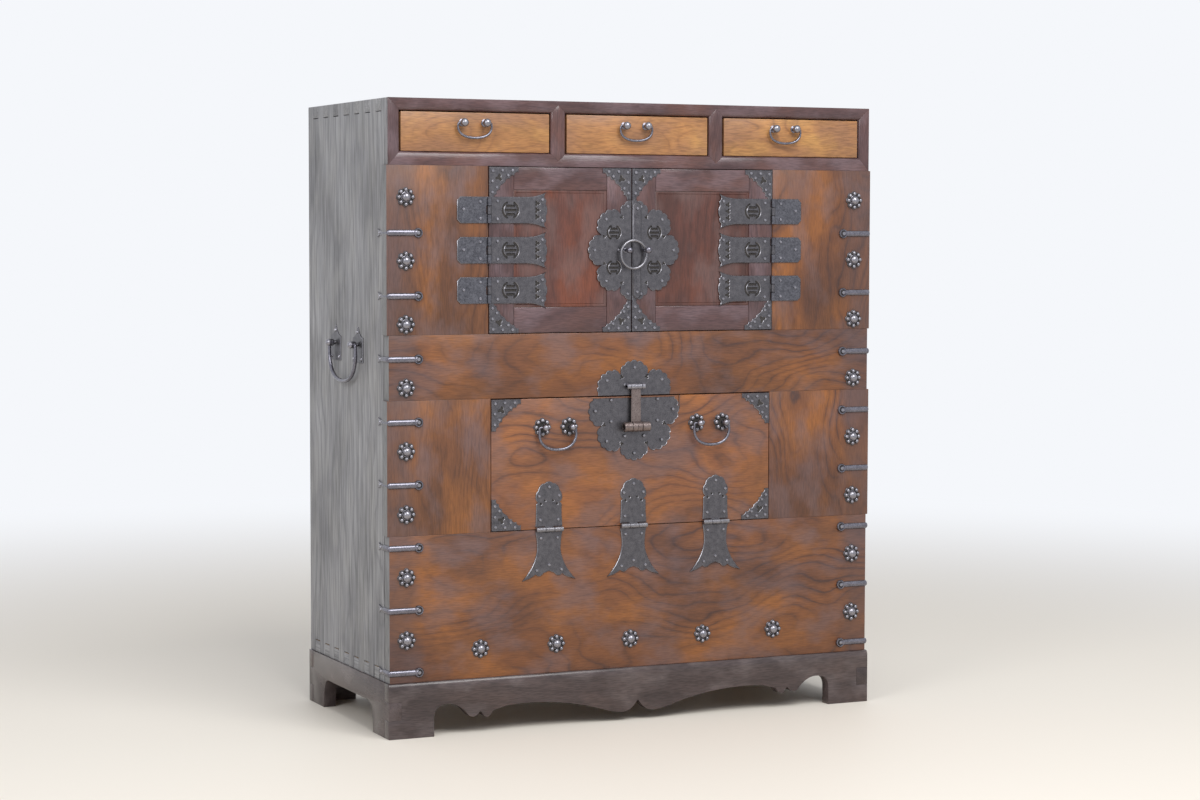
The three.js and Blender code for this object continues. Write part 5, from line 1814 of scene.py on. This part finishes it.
@dataclass(frozen=True)
class FallHinges:
    """Hinges of the fall-front: a cloud-shaped leaf on it and a swallow-tailed one under it."""

    layout: Layout
    axis_out: float = 4.5
    axis_rise: float = 0.5
    barrel: float = 4.2
    pin: float = 2.0
    gap: float = 0.4
    thickness: float = 2.0
    width: float = 48.0
    waist: float = 42.0
    tip_half: float = 48.0

    def upper_leaf(self, length: float) -> BMesh:
        """Makes the upper leaf: straight sides, scroll notches and a scalloped head.

        Args:
            length: its length from the axis.

        Returns:
            The leaf, above the axis.
        """
        w = self.width / 2
        near = self.barrel + self.gap
        centre, reach = 0.64 * length, 0.36 * length
        waist = (w * 0.95, 0.5 * length)
        right = [(w, near), (w * 0.95, 0.3 * length), waist,
                 *arc(waist, (w * 0.98, 0.545 * length), (w * 0.8, 0.56 * length), 3)]
        head = []
        lobes, steps = 5, 6
        for i in range(lobes * steps + 1):
            angle = math.radians(-8) + math.radians(196) * i / (lobes * steps)
            swell = 0.93 + 0.07 * abs(math.sin(math.pi * i / steps)) ** 0.6
            head.append((w * swell * math.cos(angle), centre + reach * swell * math.sin(angle)))
        holes = [circle(2.0, 8, (side * w * 0.6, 0.53 * length)) for side in (-1, 1)]
        holes += [circle(1.6, 8, (side * w * 0.3, 0.6 * length)) for side in (-1, 1)]
        shape = plate([*right, *head, *mirrored(right)], holes, self.thickness)
        edge = w / 3 - self.gap
        stamp(shape, board((-edge, -self.thickness, 0), (edge, -0.3, near + 0.5), 0.2))
        # The barrel takes the brighter rim iron: wear and a painted highlight.
        stamp(shape, painted(rod(self.barrel, -edge, edge, 18, self.pin + self.gap), Layer.RIM),
              at(y=-self.axis_out))
        nails(shape, [(0, length - 9), (8 - w, 16), (w - 8, 16), (6 - w, 0.7 * length),
                      (w - 6, 0.7 * length)], self.thickness)
        return shape

    def lower_leaf(self, length: float) -> BMesh:
        """Makes the lower leaf: a waist and two swept tips around a cusped notch.

        Args:
            length: its length from the axis.

        Returns:
            The leaf, below the axis.
        """
        w, tip, waist = self.width / 2, self.tip_half, self.waist / 2
        near = -self.barrel - self.gap
        cusp = (tip * 0.5, -0.88 * length)
        half = [(w, near), *arc((w, near), (waist, -0.2 * length), (waist, -0.4 * length), 5),
                *arc((waist, -0.4 * length), (waist + 3, -0.72 * length), (tip, -length), 8),
                *arc((tip, -length), (tip * 0.66, -0.96 * length), cusp, 5),
                *arc(cusp, (tip * 0.34, -0.97 * length), (tip * 0.2, -0.86 * length), 5),
                (0.0, -0.82 * length)]
        shape = plate([*reversed(half), *reversed(mirrored(half[:-1]))], [], self.thickness)
        third = w / 3
        for x0, x1 in ((-w, -third), (third, w)):
            stamp(shape, board((x0, -self.thickness, near - 0.5), (x1, -0.3, 0), 0.2))
            # The barrels take the brighter rim iron: wear and a painted highlight.
            stamp(shape, painted(rod(self.barrel, x0, x1, 18, self.pin), Layer.RIM), at(y=-self.axis_out))
        stamp(shape, rod(self.pin, -w, w, 12), at(y=-self.axis_out))
        nails(shape, [(9 - w, -14), (w - 9, -14), (0, -0.7 * length), (-22, -0.8 * length),
                      (22, -0.8 * length)], self.thickness)
        return shape

    def build(self) -> None:
        """Makes the six leaves."""
        lay = self.layout
        axis = lay.bottom_top + self.axis_rise
        for name in ROW:
            upper, lower = f"fall_hinge_{name}_upper_leaf", f"fall_hinge_{name}_lower_leaf"
            top, low = Box.of(upper), Box.of(lower)
            place = at(top.mid.x, lay.front, axis)
            for node, shape, body in ((upper, self.upper_leaf(top.hi.z - axis), "fall_flap"),
                                      (lower, self.lower_leaf(axis - low.lo.z), "case")):
                iron_piece(f"{node}_plate", joined((shape, [place])), body, [node])


@dataclass(frozen=True)
class FallLock:
    """The lock of the fall-front: a plate in two parts, a hasp and two tubes for a bolt."""

    layout: Layout
    radius: float = 84.0
    thickness: float = 2.0
    seam_drop: float = 25.0
    gap: float = 1.6
    scroll_place: float = 60.0
    hasp_rise: float = 15.0
    hasp_width: float = 20.0
    hasp_thickness: float = 2.8
    barrel: float = 5.0
    pin: float = 2.0
    side_knuckle: float = 6.5
    tube: float = 8.3
    bore: float = 5.0
    tube_length: float = 14.0
    tube_gap: float = 0.5
    roll_inset: float = 1.0
    play: float = 0.4
    lift: float = 0.3

    def part(self, upper: bool) -> BMesh:
        """Makes the part of the plate above or below the seam.

        Args:
            upper: whether it is the part above.

        Returns:
            The part, around the middle of the whole plate.
        """
        level = self.seam_drop if upper else self.seam_drop - self.gap
        away = 1 if upper else -1

        def clear(point: Point, margin: float) -> bool:
            """Tells whether a point lies on this part, a margin away from the seam."""
            return (point[1] - level) * away > margin

        kept = [point for point in lock_outline(self.radius) if clear(point, 1.5)]
        kept.sort(key=lambda point: math.atan2(away * point[1], away * point[0]))
        outline = [(kept[0][0], level), *kept, (kept[-1][0], level)]
        lobes = [i * math.pi / 4 for i in range(8)]
        notches = [angle + math.pi / 8 for angle in lobes]
        holes = [clover(polar(self.scroll_place, a), 3.6, a) for a in notches
                 if clear(polar(self.scroll_place, a), 7)]
        shape = plate(outline, holes, self.thickness)
        heads = [*(polar(0.85 * self.radius, a) for a in lobes),
                 *(polar(0.55 * self.radius, a) for a in notches)]
        nails(shape, [head for head in heads if clear(head, 4)], self.thickness)
        return shape

    def hasp(self, drop: float, back: float) -> BMesh:
        """Makes the hasp: its barrel, the tapered strap and the roll that the bolt goes through.

        Args:
            drop: from the barrel's axis down to the roll's.
            back: from the roll's axis back to the barrel's.

        Returns:
            The hasp, with the barrel's axis through the origin.
        """
        w, t, taper = self.hasp_width / 2, self.hasp_thickness / 2, 0.92
        roll = w - self.roll_inset
        outline = [(-roll, -drop), (roll, -drop), (roll * taper, 0), (-roll * taper, 0)]
        strap = slab(outline, Plane.FRONT, -t, t, 0.4)
        face = min((item for item in strap.faces if abs(item.normal.y) > 0.9),
                   key=lambda item: item.calc_center_median().y)
        for width, depth in ((1.6, 0.0), (0.7, -0.5)):
            bmesh.ops.inset_region(strap, faces=[face], thickness=width, depth=depth)
        axis = at(y=-back, z=-drop)
        rims = [axis @ at(x) @ QUARTER for x in (1.2 - roll, 0, roll - 1.2)]
        stamp(strap, rod(self.tube, -roll, roll, 24, self.bore), axis)
        stamp(strap, ring(self.tube, 0.7, 24, 6), *rims)
        stamp(strap, painted(rod(self.barrel, -w, w, 18, self.pin + self.play), Layer.WORN))
        return strap

    def build(self) -> None:
        """Makes both parts of the plate, the knuckles, the tubes and the hasp."""
        lay = self.layout
        mid, w = Box.of("upper_lock_plate").mid.x, self.hasp_width / 2
        face = lay.front - self.thickness
        hasp_y, hasp_z = face - self.barrel - self.lift, lay.fall_top + self.hasp_rise
        tube_y, tube_z = face - self.tube - self.lift, Box.of("hasp").lo.z + self.tube
        centre = at(mid, lay.front, lay.fall_top - self.seam_drop)
        iron_piece("upper_lock_plate_iron", joined((self.part(True), [centre])), "case",
                   ["upper_lock_plate"])

        inner, outer = w + self.play, w + self.side_knuckle
        knuckles, place = bmesh.new(), at(mid, hasp_y, hasp_z)
        for x0, x1 in ((-outer, -inner), (inner, outer)):
            stamp(knuckles, painted(rod(self.barrel, x0, x1, 18), Layer.WORN), place)
            stamp(knuckles, board((x0, 0, -2.5), (x1, face - hasp_y, 2.5), 0.2), place)
        stamp(knuckles, rod(self.pin, -outer, outer, 12), place)
        iron_piece("hasp_knuckles", knuckles, "case", layers=BAR_LAYERS)
        iron_piece("lower_lock_plate_iron", joined((self.part(False), [centre])), "fall_flap",
                   ["lower_lock_plate"])

        inner = w - self.roll_inset + self.tube_gap
        outer = inner + self.tube_length
        tubes, place = bmesh.new(), at(mid, tube_y, tube_z)
        for x0, x1 in ((-outer, -inner), (inner, outer)):
            stamp(tubes, rod(self.tube, x0, x1, 24, self.bore), place)
            stamp(tubes, board((x0 + 1, face - 2.4 - tube_y, -4), (x1 - 1, face - tube_y, 4), 0.2), place)
        iron_piece("lock_tubes", tubes, "fall_flap", layers=HASP_LAYERS)
        hasp = self.hasp(hasp_z - tube_z, hasp_y - tube_y)
        iron_piece("hasp_strap", joined((hasp, [at(mid, hasp_y, hasp_z)])), "hasp_flap", ["hasp"],
                   HASP_LAYERS)


# Studio


def backdrop_rays(tree: bpy.types.NodeTree) -> bpy.types.NodeSocket:
    """Marks the rays that show the backdrop: those of the camera, of mirrors and of glass.

    Args:
        tree: the node tree that the nodes go into.

    Returns:
        A socket that is one for those rays and nought for all others.
    """
    path = add_node(tree, "LightPath").outputs
    seen = path["Is Camera Ray"]
    for kind in ("Is Glossy Ray", "Is Transmission Ray"):
        seen = add_node(tree, "Math", {0: seen, 1: path[kind]}, operation="MAXIMUM").outputs[0]
    return seen


@dataclass(frozen=True)
class Studio:
    """Pale floor, soft lamps, white surroundings and the camera at the photograph's angle.

    Places and reaches are in metres, and the camera's angles are in degrees.
    """

    wall: str = "f5f7fb"
    floor: str = "ece5da"
    floor_reach: float = 30.0
    fade: Sequence[float] = (1.0, 3.6)
    fill: float = 0.56
    lens: float = 79.4
    camera_place: Sequence[float] = (-1.887, -4.165, 0.816)
    yaw: float = 24.56
    pitch: float = -3.62
    roll: float = 0.12
    lamps: Sequence[tuple[str, Sequence[float], Sequence[float], float, float]] = (
        ("overhead", (0.1, -2.4, 3.0), (0.0, 0.0, 0.6), 2.2, 88.0),
        ("window", (-3.2, -2.2, 2.5), (0.0, 0.0, 0.8), 1.6, 40.0),
    )

    def lay_floor(self) -> None:
        """Makes the floor, which fades to the colour of the wall far from the chest."""
        shape = bmesh.new()
        bmesh.ops.create_grid(shape, x_segments=1, y_segments=1, size=self.floor_reach)
        mesh = bpy.data.meshes.new("floor")
        shape.to_mesh(mesh)
        shape.free()
        material, tree = blank("floor_paint")
        paint = {"Base Color": linear(self.floor), "Roughness": 0.6}
        shader = add_node(tree, "BsdfPrincipled", paint).outputs[0]
        space = add_node(tree, "TexCoord").outputs["Object"]
        away = add_node(tree, "VectorMath", {0: space}, operation="LENGTH").outputs["Value"]
        far = add_node(tree, "MapRange", {
            "Value": away, "From Min": self.fade[0], "From Max": self.fade[1]},
            interpolation_type="SMOOTHSTEP").outputs[0]
        share = add_node(tree, "Math", {0: far, 1: backdrop_rays(tree)}, operation="MULTIPLY").outputs[0]
        glow = add_node(tree, "Emission", {"Color": linear(self.wall)}).outputs[0]
        blend = add_node(tree, "MixShader", {0: share, 1: shader, 2: glow}).outputs[0]
        add_node(tree, "OutputMaterial", {"Surface": blend})
        mesh.materials.append(material)
        floor = bpy.data.objects.new("floor", mesh)
        bpy.context.scene.collection.objects.link(floor)

    def surround(self) -> None:
        """Makes the world: white where it is seen, and dimmer where it lights the chest."""
        world = bpy.data.worlds.new("surroundings")
        world.use_nodes = True
        tree = world.node_tree
        tree.nodes.clear()
        lit = add_node(tree, "Background", {"Color": linear(self.wall), "Strength": self.fill}).outputs[0]
        white = add_node(tree, "Background", {"Color": linear(self.wall), "Strength": 1.0}).outputs[0]
        mixed = add_node(tree, "MixShader", {0: backdrop_rays(tree), 1: lit, 2: white}).outputs[0]
        add_node(tree, "OutputWorld", {"Surface": mixed})
        bpy.context.scene.world = world

    def hang_lamps(self) -> None:
        """Hangs the square lamps, each turned to what it lights."""
        for name, place, aim, size, power in self.lamps:
            light = bpy.data.lights.new(name, "AREA")
            light.size = size
            light.energy = power
            lamp = bpy.data.objects.new(name, light)
            lamp.location = place
            lamp.rotation_euler = (Vector(aim) - Vector(place)).to_track_quat("-Z", "Y").to_euler()
            bpy.context.scene.collection.objects.link(lamp)

    def set_camera(self) -> None:
        """Sets up the camera where the photograph was taken."""
        lens = bpy.data.cameras.new("camera")
        lens.lens = self.lens
        camera = bpy.data.objects.new("camera", lens)
        turn = (Matrix.Rotation(math.radians(-self.yaw), 4, "Z")
                @ Matrix.Rotation(math.pi / 2 + math.radians(self.pitch), 4, "X")
                @ Matrix.Rotation(math.radians(self.roll), 4, "Z"))
        camera.matrix_world = Matrix.Translation(self.camera_place) @ turn
        bpy.context.scene.collection.objects.link(camera)
        bpy.context.scene.camera = camera

    def build(self) -> None:
        """Makes the floor, the surroundings, the lamps and the camera."""
        bpy.context.scene.view_settings.view_transform = "Standard"
        self.lay_floor()
        self.surround()
        self.hang_lamps()
        self.set_camera()


def main() -> None:
    """Builds the chest around its frame and sets up the studio."""
    logging.basicConfig(level=logging.INFO, format="%(message)s")
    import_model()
    layout = Layout.read()
    Studio().build()
    for assembly in (Case, FrontBoards, Base, DrawerFrame, Drawers, SideBails, Doors, DoorHinges,
                     DoorLock, FallFront, FallHinges, FallLock):
        assembly(layout).build()
        LOG.info("%s is built", assembly.__name__)


if __name__ == "__main__":
    main()
